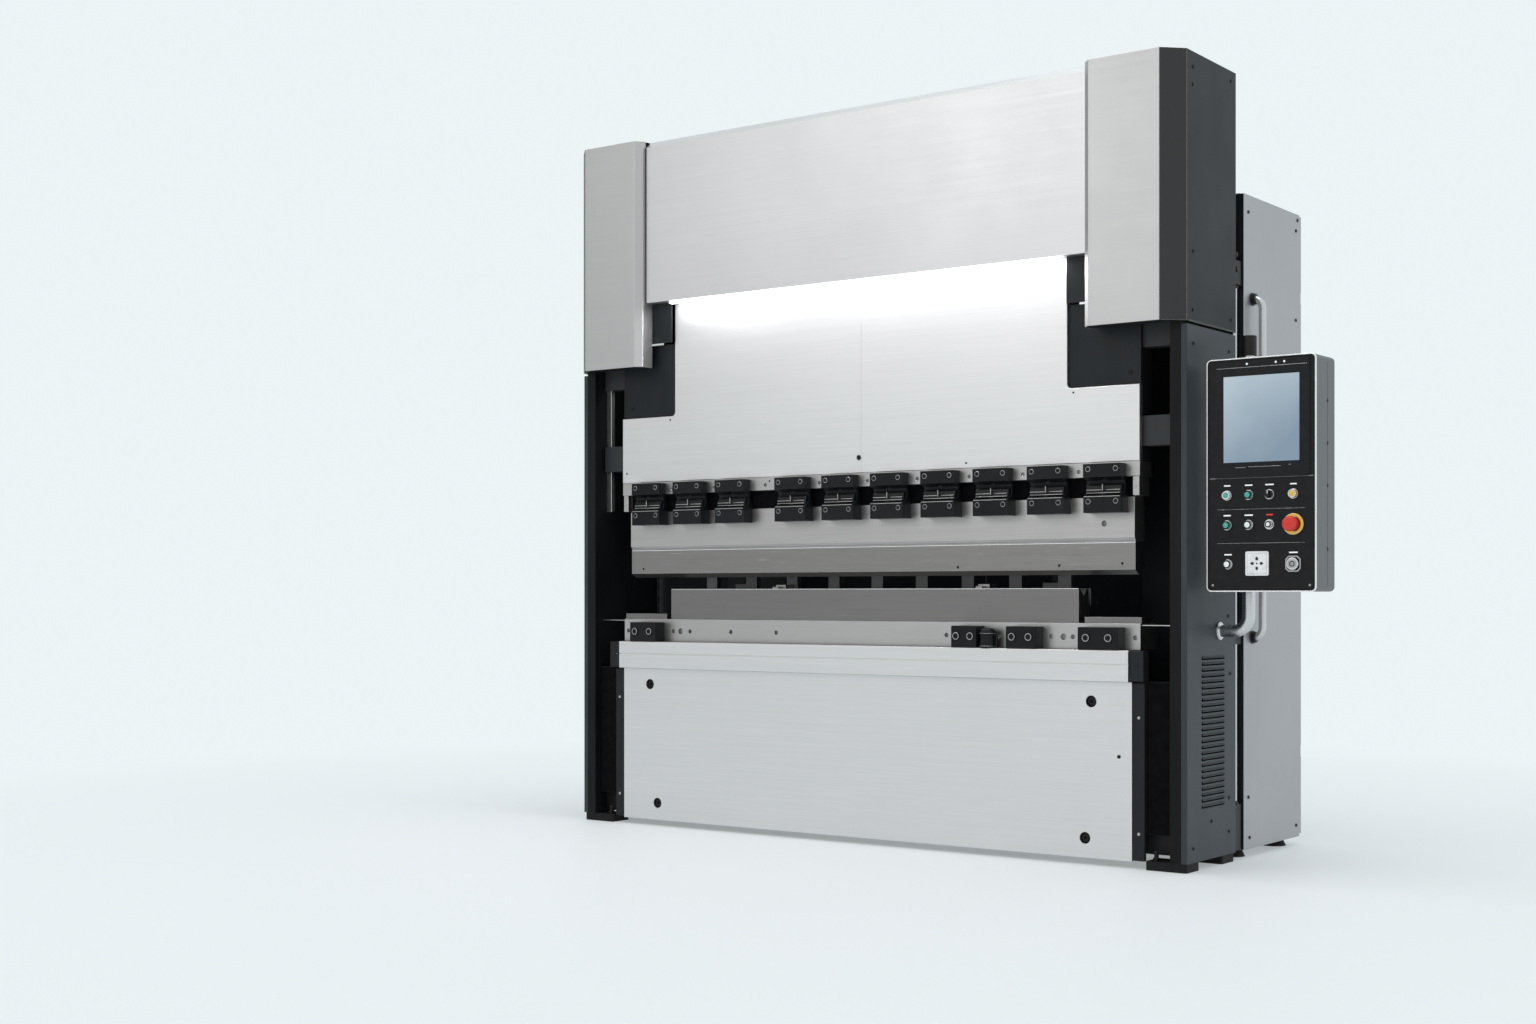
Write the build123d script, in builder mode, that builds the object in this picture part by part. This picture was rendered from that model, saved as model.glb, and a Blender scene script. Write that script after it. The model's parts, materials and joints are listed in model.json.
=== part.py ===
"""Hydraulic press brake with side columns, tower covers, rear cabinets and a swivelling control pendant.

Millimetres, +Z up.  The origin lies on the floor at the centre of the four anchor holes under the
two side frames.  The machine's front faces -Y and +X is the side that carries the pendant.
"""
import os

from build123d import *

os.makedirs("parts", exist_ok=True)

# ---------------------------------------------------------------- driving sizes
frame_width = 2620.0          # over the outer faces of the two columns
column_depth = 390.0          # front edge to rear edge of a column
frame_plate = 40.0            # thickness of a side frame plate
cover_depth = 20.0            # depth of the sheet tray on the outside of a column
sheet = 4.0                   # cover sheet thickness
edge_round = 3.0              # rounding of folded sheet edges

foot_height = 30.0
foot_length = 100.0
foot_inset = 5.0              # from the column's front or rear edge to the foot
anchor_hole_radius = 11.0
anchor_from_edge = 40.0       # from a column edge to the anchor hole

column_top = 1789.0
tower_gap = 10.0              # shadow gap between column and tower cover
tower_overhang = 67.0         # tower front face ahead of the column front
fascia_overhang = 27.0        # fascia front face ahead of the column front
tower_width = 347.0           # inner wall to outer face
tower_bevel = 65.0            # outer corner bevel, in X and in Y
tower_inner_bevel = 24.0
tower_inner_return = 57.0     # depth of the inner side wall
panel_gap = 4.0               # between fascia and tower

bend_setback = 83.0           # bending plane behind the column front
ram_thickness = 70.0
ram_panel_thickness = 20.0
ram_end_gap = 122.0           # ram end to side frame
tool_thickness = 72.0         # punch and die
apron_end_gap = 142.0
apron_thickness = 8.0
apron_standoff = 10.0
apron_bottom = 22.0

base_beam_bottom = 45.0
base_beam_height = 70.0
base_beam_depth = 65.0
lower_beam_bottom = 115.0
lower_beam_thickness = 80.0
table_bottom = 618.0
table_height = 105.0
bed_rail_depth = 22.0
bed_rail_overhang = 17.0      # bed rail front ahead of the column front
die_rail_height = 88.0
die_rail_depth = 124.0
die_height = 118.0
vee_width = 50.0
open_height = 62.0            # die top to punch shoulder at rest
nose_height = 16.0
punch_height = 243.0
holder_height = 68.0
tool_bar_height = 50.0
notch_above_bar = 255.0       # from the tool bar up to the panel notch
shoulder_above_bar = 538.0
ram_above_bar = 948.0
notch_width = 269.0
stroke_up = 144.0
stroke_down = 52.0

rod_radius = 45.0
piston_radius = 74.9
piston_height = 40.0
barrel_radius = 95.0
bore_radius = 75.0
cylinder_length = 520.0
rod_block_height = 40.0
cylinder_end_gap = 6.0        # rod block to cylinder at the top of the stroke
rod_from_end = 60.0           # rod axis inboard of the ram end
tower_head = 82.0             # cylinder top to tower top
running_gap = 0.05
slide_gap = 0.4

clamp_width = 138.0
clamp_pitch = 214.5
clamp_pitch_left = 208.0
clamp_end = 92.0              # punch end to first clamp centre, right
clamp_end_left = 123.0
clamp_group_gap = 280.0
clamp_screw_offset = 51.0
clamp_screw_radius = 7.0

cabinet_gap = 68.0            # column rear edge to cabinet
cabinet_depth = 523.0
cabinet_width = 380.0
cabinet_top = 2286.0
cabinet_sheet = 3.0
door_thickness = 20.0
door_clearance = 3.0
rear_door_bottom = 160.0
rear_door_top = 1950.0
guard_thickness = 25.0
hinge_radius = 7.0
hinge_pin_radius = 4.0
hinge_height = 40.0
hinge_pin_reach = 20.0        # pin beyond each end of its knuckle, into the door
knuckle_depth = 18.0          # hinge leaf behind the door plane
grip_width = 34.0             # finger pulls in the rear doors
grip_height = 160.0

pendant_width = 366.0
pendant_height = 750.0
pendant_depth = 160.0
pendant_bottom = 917.0
pendant_gap = 52.0            # column outer face to pendant
pendant_behind_front = 37.0   # pendant face behind the column front
pendant_corner = 16.0
tube_radius = 21.0
arm_reach = 105.0             # column outer face to the swivel axis
arm_height = 786.0
arm_setback = 252.0           # column front to the swivel axis
arm_top = 1765.0

# ---------------------------------------------------------------- derived places
outer_x = frame_width / 2
plate_outer = outer_x - cover_depth
plate_inner = plate_outer - frame_plate
front_y = -column_depth / 2
rear_y = column_depth / 2
bend_y = front_y + bend_setback

ram_half = plate_inner - ram_end_gap
punch_half = ram_half - 27.0
die_rail_half = ram_half - 2.0
die_half = ram_half - 235.0
apron_half = plate_inner - apron_end_gap

table_top = table_bottom + table_height
die_rail_top = table_top + die_rail_height
die_top = die_rail_top + die_height
punch_bottom = die_top + open_height
punch_top = punch_bottom + punch_height
tool_bar_bottom = punch_top + holder_height
tool_bar_top = tool_bar_bottom + tool_bar_height
notch_z = tool_bar_top + notch_above_bar
shoulder_top = tool_bar_top + shoulder_above_bar
ram_top = tool_bar_top + ram_above_bar
cylinder_bottom = shoulder_top + rod_block_height + stroke_up + cylinder_end_gap
cylinder_top = cylinder_bottom + cylinder_length
machine_top = cylinder_top + tower_head
tower_bottom = column_top + tower_gap
fascia_bottom = cylinder_bottom - 30.0

ram_front = bend_y - ram_thickness / 2
ram_rear = bend_y + ram_thickness / 2
ram_panel_front = ram_front - ram_panel_thickness
tool_front = bend_y - tool_thickness / 2
tool_rear = bend_y + tool_thickness / 2
die_rail_front = tool_front - 9.0
die_rail_rear = die_rail_front + die_rail_depth
apron_front = front_y + 12.0
apron_rear = apron_front + apron_thickness
lower_beam_front = apron_rear + apron_standoff
lower_beam_rear = lower_beam_front + lower_beam_thickness
bed_rail_front = front_y - bed_rail_overhang
bed_rail_rear = bed_rail_front + bed_rail_depth
table_rear = die_rail_rear - 30.0

tower_front_y = front_y - tower_overhang
tower_inner_x = outer_x - tower_width
fascia_front = front_y - fascia_overhang
rod_x = ram_half - rod_from_end
beam_front = bend_y + barrel_radius + 5.0
beam_rear = beam_front + 100.0
upper_beam_low = fascia_bottom + 70.0
upper_beam_height = 300.0
base_front = front_y + 70.0

cabinet_front = rear_y + cabinet_gap
cabinet_rear = cabinet_front + cabinet_depth
cabinet_inner_x = outer_x - cabinet_width
door_plane = cabinet_rear - door_thickness
hinge_y = cabinet_rear - hinge_radius
cabinet_hinge_x = outer_x - 2.0 - hinge_radius
guard_hinge_x = cabinet_inner_x - 6.0 - hinge_radius
cabinet_hinges = [320.0, 1160.0, cabinet_top - 320.0]
guard_hinges = [rear_door_bottom + 200.0, rear_door_top - 240.0]

axis_x = outer_x + arm_reach
axis_y = front_y + arm_setback
pendant_left = outer_x + pendant_gap
pendant_right = pendant_left + pendant_width
pendant_front = front_y + pendant_behind_front
pendant_rear = pendant_front + pendant_depth
pendant_top = pendant_bottom + pendant_height


def block(x, y, z, mode=Mode.ADD):
    """Box that fills three (low, high) stretches, added to the open part."""
    with Locations(((x[0] + x[1]) / 2, (y[0] + y[1]) / 2, (z[0] + z[1]) / 2)):
        Box(x[1] - x[0], y[1] - y[0], z[1] - z[0], mode=mode)


def hinge_pins(x, leaf_x, levels):
    """Fixed hinge knuckles on a leaf, each with a pin that runs on into the door above and below."""
    for level in levels:
        block(leaf_x, (door_plane - door_clearance - knuckle_depth, door_plane - door_clearance),
              (level, level + hinge_height))
        block((x - hinge_radius, x + hinge_radius), (door_plane - door_clearance - knuckle_depth, hinge_y),
              (level, level + hinge_height))
        with Locations((x, hinge_y, level)):
            Cylinder(hinge_radius, hinge_height, align=(Align.CENTER, Align.CENTER, Align.MIN))
        with Locations((x, hinge_y, level - hinge_pin_reach)):
            Cylinder(hinge_pin_radius, hinge_height + 2 * hinge_pin_reach,
                     align=(Align.CENTER, Align.CENTER, Align.MIN))


def hinge_sockets(x, outward, levels):
    """Notches round the knuckles and bores for the pins, cut from the open door part."""
    edges = sorted((x - outward * (hinge_radius + 1), x + outward * (hinge_radius + 3)))
    for level in levels:
        block(edges, (hinge_y - 40, hinge_y + 20), (level - slide_gap, level + hinge_height + slide_gap),
              mode=Mode.SUBTRACT)
        with Locations((x, hinge_y, level - hinge_pin_reach - 1)):
            Cylinder(hinge_pin_radius + running_gap, hinge_height + 2 * hinge_pin_reach + 2,
                     align=(Align.CENTER, Align.CENTER, Align.MIN), mode=Mode.SUBTRACT)


def screw_row(points, radius, height, plane):
    """Round screw heads with a hexagon socket, standing on a plane at the given points."""
    with BuildSketch(plane) as heads:
        with Locations(*points):
            Circle(radius)
    extrude(heads.sketch, amount=height)
    with BuildSketch(plane.offset(height)) as sockets:
        with Locations(*points):
            RegularPolygon(radius * 0.5, 6)
    extrude(sockets.sketch, amount=-height * 0.6, mode=Mode.SUBTRACT)


def front_plane(y):
    """Plane parallel to the machine's front; its local x is X, its local y is Z, facing -Y."""
    return Plane(origin=(0, y, 0), x_dir=(1, 0, 0), z_dir=(0, -1, 0))


def side_plane(x):
    """Plane parallel to the machine's right side; its local x is Y, its local y is Z, facing +X."""
    return Plane(origin=(x, 0, 0), x_dir=(0, 1, 0), z_dir=(1, 0, 0))


# ---------------------------------------------------------------- welded frame
frame_top = machine_top - 22.0

with BuildPart() as side_frames:
    with BuildSketch(side_plane(plate_inner)):
        with Locations((0, (foot_height + frame_top) / 2)):
            Rectangle(column_depth, frame_top - foot_height)
    extrude(amount=frame_plate)
    mirror(about=Plane.YZ)
side_frames.part.label = "side_frames"
export_step(side_frames.part, "parts/side_frames.step")

with BuildPart() as cross_beams:
    base_z = (base_beam_bottom, base_beam_bottom + base_beam_height)
    block((-plate_inner, plate_inner), (base_front, base_front + base_beam_depth), base_z)
    block((-plate_inner, plate_inner), (-base_front - base_beam_depth, -base_front), base_z)
    block((-plate_inner, plate_inner), (beam_front, beam_rear),
          (upper_beam_low, upper_beam_low + upper_beam_height))
cross_beams.part.label = "cross_beams"
export_step(cross_beams.part, "parts/cross_beams.step")

with BuildPart() as lower_beam:
    block((-plate_inner, plate_inner), (lower_beam_front, lower_beam_rear), (lower_beam_bottom, table_bottom))
lower_beam.part.label = "lower_beam"
export_step(lower_beam.part, "parts/lower_beam.step")

with BuildPart() as bed_table:
    block((-apron_half, apron_half), (bed_rail_rear, table_rear), (table_bottom, table_top))
bed_table.part.label = "bed_table"
export_step(bed_table.part, "parts/bed_table.step")

rail_groove_depth = 3.0
rail_groove_top = table_top - 46.0
rail_groove_height = 4.0

with BuildPart() as bed_rail:
    block((-apron_half, apron_half), (bed_rail_front, bed_rail_rear), (table_bottom, table_top))
    fillet(bed_rail.edges().filter_by(Axis.X).group_by(Axis.Y)[0], radius=edge_round)
    block((-apron_half, apron_half), (bed_rail_front, bed_rail_front + rail_groove_depth),
          (rail_groove_top - rail_groove_height, rail_groove_top), mode=Mode.SUBTRACT)
bed_rail.part.label = "bed_rail"
export_step(bed_rail.part, "parts/bed_rail.step")

# ---------------------------------------------------------------- feet with anchor holes
foot_inner_x = plate_inner - 90.0
foot_outer_x = outer_x - 4.0
cabinet_feet_x = (cabinet_inner_x + 60.0, outer_x - 70.0)
cabinet_feet_y = (cabinet_front + 60.0, cabinet_rear - 95.0)
cabinet_foot_radius = 45.0
cabinet_foot_top_radius = 32.0
foot_corner = 8.0
anchor_x = plate_inner - 45.0
anchor_y = rear_y - anchor_from_edge

with BuildPart() as floor_feet:
    for end in (-1, 1):
        foot_y = end * (rear_y - foot_inset - foot_length / 2)
        with BuildSketch():
            with Locations(((foot_inner_x + foot_outer_x) / 2, foot_y)):
                RectangleRounded(foot_outer_x - foot_inner_x, foot_length, foot_corner)
            with Locations((anchor_x, end * anchor_y)):
                Circle(anchor_hole_radius, mode=Mode.SUBTRACT)
        extrude(amount=foot_height)
    for foot_y in cabinet_feet_y:
        for foot_x in cabinet_feet_x:
            with Locations((foot_x, foot_y, 0)):
                Cone(cabinet_foot_radius, cabinet_foot_top_radius, foot_height,
                     align=(Align.CENTER, Align.CENTER, Align.MIN))
    mirror(about=Plane.YZ)
floor_feet.part.label = "floor_feet"
export_step(floor_feet.part, "parts/floor_feet.step")

# ---------------------------------------------------------------- front apron
apron_holes = [(-apron_half + 135, table_bottom - 63), (apron_half - 150, table_bottom - 69),
               (apron_half - 173, 89.0), (-apron_half + 173, 89.0)]
apron_hole_radius = 20.0

with BuildPart() as apron_panel:
    with BuildSketch(front_plane(apron_rear)):
        with Locations((0, (apron_bottom + table_bottom) / 2)):
            Rectangle(2 * apron_half, table_bottom - apron_bottom)
        with Locations(*apron_holes):
            Circle(apron_hole_radius, mode=Mode.SUBTRACT)
    extrude(amount=apron_thickness)
    fillet(apron_panel.faces().sort_by(Axis.Y)[0].outer_wire().edges(), radius=edge_round * 0.6)
apron_panel.part.label = "apron_panel"
export_step(apron_panel.part, "parts/apron_panel.step")

# ---------------------------------------------------------------- die rail, dies and toe clamps
die_rail_holes = [375.0, 591.0, 792.0, 876.0, 1107.0]
rail_hole_z = table_top + 41.0
rail_hole_radius = 8.0
rail_hole_depth = 18.0
rail_pin_x = 840.0
rail_pin_radius = 11.0

with BuildPart() as die_rail:
    block((-die_rail_half, die_rail_half), (die_rail_front, die_rail_rear), (table_top, die_rail_top))
    chamfer(die_rail.edges().filter_by(Axis.X).group_by(Axis.Z)[-1].sort_by(Axis.Y)[0], length=2)
    with BuildSketch(front_plane(die_rail_front)):
        for hole_x in die_rail_holes:
            if hole_x < die_rail_half - 2 * rail_hole_radius:
                with Locations((hole_x, rail_hole_z), (-hole_x, rail_hole_z)):
                    Circle(rail_hole_radius)
        with Locations((rail_pin_x, rail_hole_z), (-rail_pin_x, rail_hole_z)):
            Circle(rail_pin_radius)
    extrude(amount=-rail_hole_depth, mode=Mode.SUBTRACT)
die_rail.part.label = "die_rail"
export_step(die_rail.part, "parts/die_rail.step")

end_block_height = 21.0       # low rests on the die rail beyond each end of the die
end_block_gap = 23.0

with BuildPart() as dies:
    with BuildSketch(side_plane(-die_half)):
        with BuildLine():
            Polyline((tool_front, die_rail_top), (tool_front, die_top), (bend_y - vee_width / 2, die_top),
                     (bend_y, die_top - vee_width / 2), (bend_y + vee_width / 2, die_top),
                     (tool_rear, die_top), (tool_rear, die_rail_top), close=True)
        make_face()
    extrude(amount=2 * die_half)
    end_z = (die_rail_top, die_rail_top + end_block_height)
    block((die_half + end_block_gap, die_rail_half), (tool_front, tool_rear), end_z)
    block((-die_rail_half, -die_half - end_block_gap), (tool_front, tool_rear), end_z)
dies.part.label = "dies"
export_step(dies.part, "parts/dies.step")

# Toe clamps stand on the bed rail and grip the die rail: (centre x, width).
clamp_fraction = [(-0.876, 130.0), (0.425, 102.0), (0.626, 116.0), (0.885, 148.0)]
toe_clamps = [(share * die_rail_half, width) for share, width in clamp_fraction]
toe_front = die_rail_front - 57.0
toe_top = table_top + 76.0
roller_x = 0.502 * die_rail_half
roller_radius = 30.0
roller_height = 58.0
roller_gap = 2.0              # roller to die rail

with BuildPart() as die_clamps:
    for centre, width in toe_clamps:
        block((centre - width / 2, centre + width / 2), (toe_front, die_rail_front), (table_top, toe_top))
    fillet(die_clamps.edges().filter_by(Axis.X).group_by(Axis.Y)[0], radius=edge_round)
    fillet(die_clamps.edges().filter_by(Axis.Y).group_by(Axis.Z)[-1], radius=edge_round)
    with BuildSketch(Plane.XY.offset(table_top)):
        with Locations((roller_x, die_rail_front - roller_radius - roller_gap)):
            Circle(roller_radius)
    extrude(amount=roller_height)
die_clamps.part.label = "die_clamps"
export_step(die_clamps.part, "parts/die_clamps.step")

toe_screw_z = table_top + 40.0
toe_screw_share = 0.28        # of the clamp's width, each side of its middle

with BuildPart() as socket_screws:
    toe_screws = []
    for centre, width in toe_clamps:
        for side in (-1, 1):
            toe_screws.append((centre + side * width * toe_screw_share, toe_screw_z))
    screw_row(toe_screws, 10, 4, front_plane(toe_front))
    screw_row(apron_holes, 14, 12, front_plane(lower_beam_front))
socket_screws.part.label = "socket_screws"
export_step(socket_screws.part, "parts/socket_screws.step")

# ---------------------------------------------------------------- fascia and work light
fascia_half = tower_inner_x - panel_gap
fascia_bevel = 24.0
fascia_back = fascia_front + 170.0
fascia_return = 40.0          # flange turned back along the lower edge

with BuildPart() as fascia_panel:
    with BuildSketch(side_plane(-fascia_half)):
        with BuildLine():
            Polyline((fascia_front + fascia_return, fascia_bottom), (fascia_front, fascia_bottom),
                     (fascia_front, machine_top - fascia_bevel), (fascia_front + fascia_bevel, machine_top),
                     (fascia_back, machine_top))
            offset(amount=sheet, side=Side.RIGHT)
        make_face()
    extrude(amount=2 * fascia_half)
fascia_panel.part.label = "fascia_panel"
export_step(fascia_panel.part, "parts/fascia_panel.step")

light_half = ram_half - notch_width - 10.0
light_setback = 8.0
light_depth = 22.0
light_height = 10.0
light_y = (fascia_front + light_setback, fascia_front + light_setback + light_depth)

with BuildPart() as work_light:
    block((-light_half, light_half), light_y, (fascia_bottom - light_height, fascia_bottom))
    fillet(work_light.edges().filter_by(Axis.X).group_by(Axis.Z)[0], radius=edge_round)
work_light.part.label = "work_light"
export_step(work_light.part, "parts/work_light.step")

# ---------------------------------------------------------------- tower covers
# The hydraulic pipes rise from the left cabinet and enter the left tower through its rear wall.
pipe_radius = 14.0
pipe_bend = 60.0
pipe_pitch = 90.0
pipe_z = cylinder_top - 40.0
pipe_low_z = cylinder_top - 85.0
pipe_rise_y = cabinet_front + 160.0
pipe_hole_gap = 4.0
port_y = bend_y + barrel_radius

inner_corner_y = tower_front_y + tower_inner_bevel
front_left = tower_inner_x + tower_inner_bevel
front_right = outer_x - tower_bevel
bevel_end_y = tower_front_y + tower_bevel
corner_return = 1.7           # short return of the folded corner piece on each side
plate_joint_y = bevel_end_y + 2.0
guard_front = inner_corner_y + tower_inner_return
guard_inner_x = ram_half - notch_width + 5.0
lid_drop = 6.0
lid_inset = 6.0               # lid plates inside the covers round them
cover_end_gap = 1.0           # rear wall strips to the side frame plate
guard_top = cylinder_bottom + 60.0
guard_low = shoulder_top + 4.0

with BuildPart() as tower_fronts:
    with BuildSketch(Plane.XY.offset(tower_bottom)):
        with BuildLine():
            FilletPolyline((tower_inner_x, inner_corner_y + tower_inner_return),
                           (tower_inner_x, inner_corner_y),
                           (front_left, tower_front_y), (front_right - corner_return, tower_front_y),
                           radius=edge_round + 2)
            offset(amount=sheet, side=Side.LEFT)
        make_face()
    extrude(amount=machine_top - tower_bottom)
    mirror(about=Plane.YZ)
tower_fronts.part.label = "tower_fronts"
export_step(tower_fronts.part, "parts/tower_fronts.step")

with BuildPart() as tower_corners:
    with BuildSketch(Plane.XY.offset(tower_bottom)):
        with BuildLine():
            Polyline((front_right - corner_return, tower_front_y), (front_right, tower_front_y),
                     (outer_x, bevel_end_y), (outer_x, bevel_end_y + corner_return),
                     (outer_x - sheet, bevel_end_y + corner_return),
                     (front_right - corner_return, tower_front_y + sheet), close=True)
        make_face()
    extrude(amount=machine_top - tower_bottom)
    mirror(about=Plane.YZ)
tower_corners.part.label = "tower_corners"
export_step(tower_corners.part, "parts/tower_corners.step")

with BuildPart() as tower_sides:
    block((outer_x - sheet, outer_x), (bevel_end_y + corner_return, rear_y), (tower_bottom, machine_top))
    for wall in ((tower_inner_x, plate_inner - cover_end_gap),
                 (plate_outer + cover_end_gap, outer_x - sheet)):
        block(wall, (rear_y - sheet, rear_y), (tower_bottom, machine_top))
    with BuildSketch(front_plane(rear_y)):
        with Locations((rod_x, pipe_z), (rod_x - pipe_pitch, pipe_low_z)):
            Circle(pipe_radius + pipe_hole_gap)
    extrude(amount=2 * sheet, mode=Mode.SUBTRACT)
    for plate_z in (tower_bottom, machine_top - lid_drop):
        with BuildSketch(Plane.XY.offset(plate_z)):
            with BuildLine():
                Polyline((tower_inner_x + lid_inset, plate_joint_y),
                         (tower_inner_x + lid_inset, inner_corner_y + 4),
                         (front_left + 3, tower_front_y + lid_inset),
                         (front_right - 3, tower_front_y + lid_inset),
                         (outer_x - lid_inset - 2, plate_joint_y), close=True)
            make_face()
        extrude(amount=sheet)
    block((tower_inner_x + lid_inset, outer_x - lid_inset), (plate_joint_y, rear_y - lid_inset),
          (machine_top - lid_drop, machine_top - lid_drop + sheet))
    block((guard_inner_x, tower_inner_x + lid_inset), (guard_front, guard_front + sheet),
          (guard_low, guard_top))
    mirror(about=Plane.YZ)
tower_sides.part.label = "tower_sides"
export_step(tower_sides.part, "parts/tower_sides.step")

rear_cover_gap = 3.0
rear_cover_low = tower_bottom + 260.0

with BuildPart() as rear_cover:
    with BuildSketch(side_plane(-fascia_half)):
        with BuildLine():
            Polyline((fascia_back + rear_cover_gap, machine_top), (rear_y, machine_top),
                     (rear_y, rear_cover_low))
            offset(amount=sheet, side=Side.RIGHT)
        make_face()
    extrude(amount=2 * fascia_half)
rear_cover.part.label = "rear_cover"
export_step(rear_cover.part, "parts/rear_cover.step")

# ---------------------------------------------------------------- louvred column covers
louvre_bottom = 205.0
louvre_pitch = 19.6
louvre_count = 26
louvre_length = 184.0
louvre_height = 7.0
louvre_y = 10.0

with BuildPart() as side_covers:
    block((plate_outer, outer_x), (front_y, rear_y), (foot_height, column_top))
    fillet(side_covers.edges().filter_by(Axis.Z).group_by(Axis.X)[-1], radius=edge_round)
    block((plate_outer, outer_x - sheet), (front_y + sheet, rear_y - sheet),
          (foot_height + sheet, column_top - sheet), mode=Mode.SUBTRACT)
    with BuildSketch(side_plane(outer_x - sheet)):
        with Locations((louvre_y, louvre_bottom + louvre_pitch * (louvre_count - 1) / 2)):
            with GridLocations(1, louvre_pitch, 1, louvre_count):
                SlotOverall(louvre_length, louvre_height)
    extrude(amount=sheet, mode=Mode.SUBTRACT)
    mirror(about=Plane.YZ)
side_covers.part.label = "side_covers"
export_step(side_covers.part, "parts/side_covers.step")

# ---------------------------------------------------------------- rear cabinets and their contents
with BuildPart() as rear_cabinets:
    block((cabinet_inner_x, outer_x), (cabinet_front, door_plane - door_clearance),
          (foot_height, cabinet_top))
    fillet(rear_cabinets.edges().filter_by(Axis.Z).group_by(Axis.X)[-1].sort_by(Axis.Y)[0], radius=edge_round)
    block((cabinet_inner_x + cabinet_sheet, outer_x - cabinet_sheet),
          (cabinet_front + cabinet_sheet, door_plane - door_clearance),
          (foot_height + cabinet_sheet, cabinet_top - cabinet_sheet), mode=Mode.SUBTRACT)
    hinge_pins(guard_hinge_x, (guard_hinge_x - hinge_radius, cabinet_inner_x), guard_hinges)
    mirror(about=Plane.YZ)
    hinge_pins(cabinet_hinge_x, (cabinet_hinge_x - hinge_radius, outer_x), cabinet_hinges)
    block((-outer_x + cabinet_sheet, -cabinet_inner_x - cabinet_sheet),
          (door_plane - door_clearance - cabinet_sheet, door_plane - door_clearance),
          (foot_height + cabinet_sheet, cabinet_top - cabinet_sheet))
rear_cabinets.part.label = "rear_cabinets"
export_step(rear_cabinets.part, "parts/rear_cabinets.step")

module_rows = 4
module_columns = 4
module_pitch_x = 72.0
module_pitch_z = 330.0
module_width = 58.0
module_height = 190.0
module_depth = 95.0
module_middle_z = 980.0
mounting_plate = 12.0
mounting_margin = 30.0
mounting_z = (180.0, cabinet_top - 160.0)

with BuildPart() as electrical_modules:
    plate_y = cabinet_front + cabinet_sheet
    cabinet_mid = (cabinet_inner_x + outer_x) / 2
    block((cabinet_inner_x + mounting_margin, outer_x - mounting_margin), (plate_y, plate_y + mounting_plate),
          mounting_z)
    with BuildSketch(front_plane(plate_y + mounting_plate)):
        with Locations((cabinet_mid, module_middle_z)):
            with GridLocations(module_pitch_x, module_pitch_z, module_columns, module_rows):
                Rectangle(module_width, module_height)
    extrude(amount=-module_depth)
electrical_modules.part.label = "electrical_modules"
export_step(electrical_modules.part, "parts/electrical_modules.step")

tank_margin = 40.0
tank_x = (-outer_x + tank_margin, -cabinet_inner_x - tank_margin)
tank_y = (cabinet_front + 50.0, door_plane - 70.0)
tank_top = 620.0
tank_corner = 18.0
motor_at = ((tank_x[0] + tank_x[1]) / 2, (tank_y[0] + tank_y[1]) / 2)
coupling_radius = 60.0
coupling_height = 90.0
motor_radius = 105.0
motor_height = 330.0

with BuildPart() as power_pack:
    block(tank_x, tank_y, (foot_height + cabinet_sheet, tank_top))
    fillet(power_pack.edges().filter_by(Axis.Z), radius=tank_corner)
    with Locations((*motor_at, tank_top)):
        Cylinder(coupling_radius, coupling_height, align=(Align.CENTER, Align.CENTER, Align.MIN))
    with Locations((*motor_at, tank_top + coupling_height)):
        Cylinder(motor_radius, motor_height, align=(Align.CENTER, Align.CENTER, Align.MIN))
power_pack.part.label = "power_pack"
export_step(power_pack.part, "parts/power_pack.step")

crossing_y = rear_y - 60.0    # the long pipe crosses to the right cylinder here

with BuildPart() as hydraulic_pipes:
    routes = [
        [(-rod_x, pipe_rise_y, cabinet_top), (-rod_x, pipe_rise_y, pipe_z), (-rod_x, port_y, pipe_z)],
        [(-rod_x + pipe_pitch, pipe_rise_y, cabinet_top), (-rod_x + pipe_pitch, pipe_rise_y, pipe_low_z),
         (-rod_x + pipe_pitch, crossing_y, pipe_low_z), (rod_x, crossing_y, pipe_low_z),
         (rod_x, port_y, pipe_low_z)]]
    for points in routes:
        with BuildLine() as route:
            FilletPolyline(*points, radius=pipe_bend)
        with BuildSketch(Plane(origin=route.line @ 0, z_dir=route.line % 0)):
            Circle(pipe_radius)
        sweep(path=route.line)
hydraulic_pipes.part.label = "hydraulic_pipes"
export_step(hydraulic_pipes.part, "parts/hydraulic_pipes.step")

# ---------------------------------------------------------------- posts and conduit beside the cabinets
post_x = outer_x - 25.0
post_y = rear_y + cabinet_gap / 2
post_radius = 14.0
post_low = 190.0
post_high = 1968.0
conduit_out = 36.0
conduit_y = cabinet_front + 75.0
conduit_low = 760.0
conduit_high = 1930.0
conduit_radius = 13.0
conduit_bend = 34.0

with BuildPart() as side_tubes:
    with BuildSketch(Plane.XY.offset(post_low)):
        with Locations((post_x, post_y), (-post_x, post_y)):
            Circle(post_radius)
    extrude(amount=post_high - post_low)
    with BuildLine() as conduit_route:
        FilletPolyline((outer_x, conduit_y, conduit_high), (outer_x + conduit_out, conduit_y, conduit_high),
                       (outer_x + conduit_out, conduit_y, conduit_low), (outer_x, conduit_y, conduit_low),
                       radius=conduit_bend)
    with BuildSketch(Plane(origin=conduit_route.line @ 0, z_dir=conduit_route.line % 0)):
        Circle(conduit_radius)
    sweep(path=conduit_route.line)
side_tubes.part.label = "side_tubes"
export_step(side_tubes.part, "parts/side_tubes.step")

collar_low = 738.0
collar_high = 769.0
post_cap_top = 2050.0
fitting_half = 19.0

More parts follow.
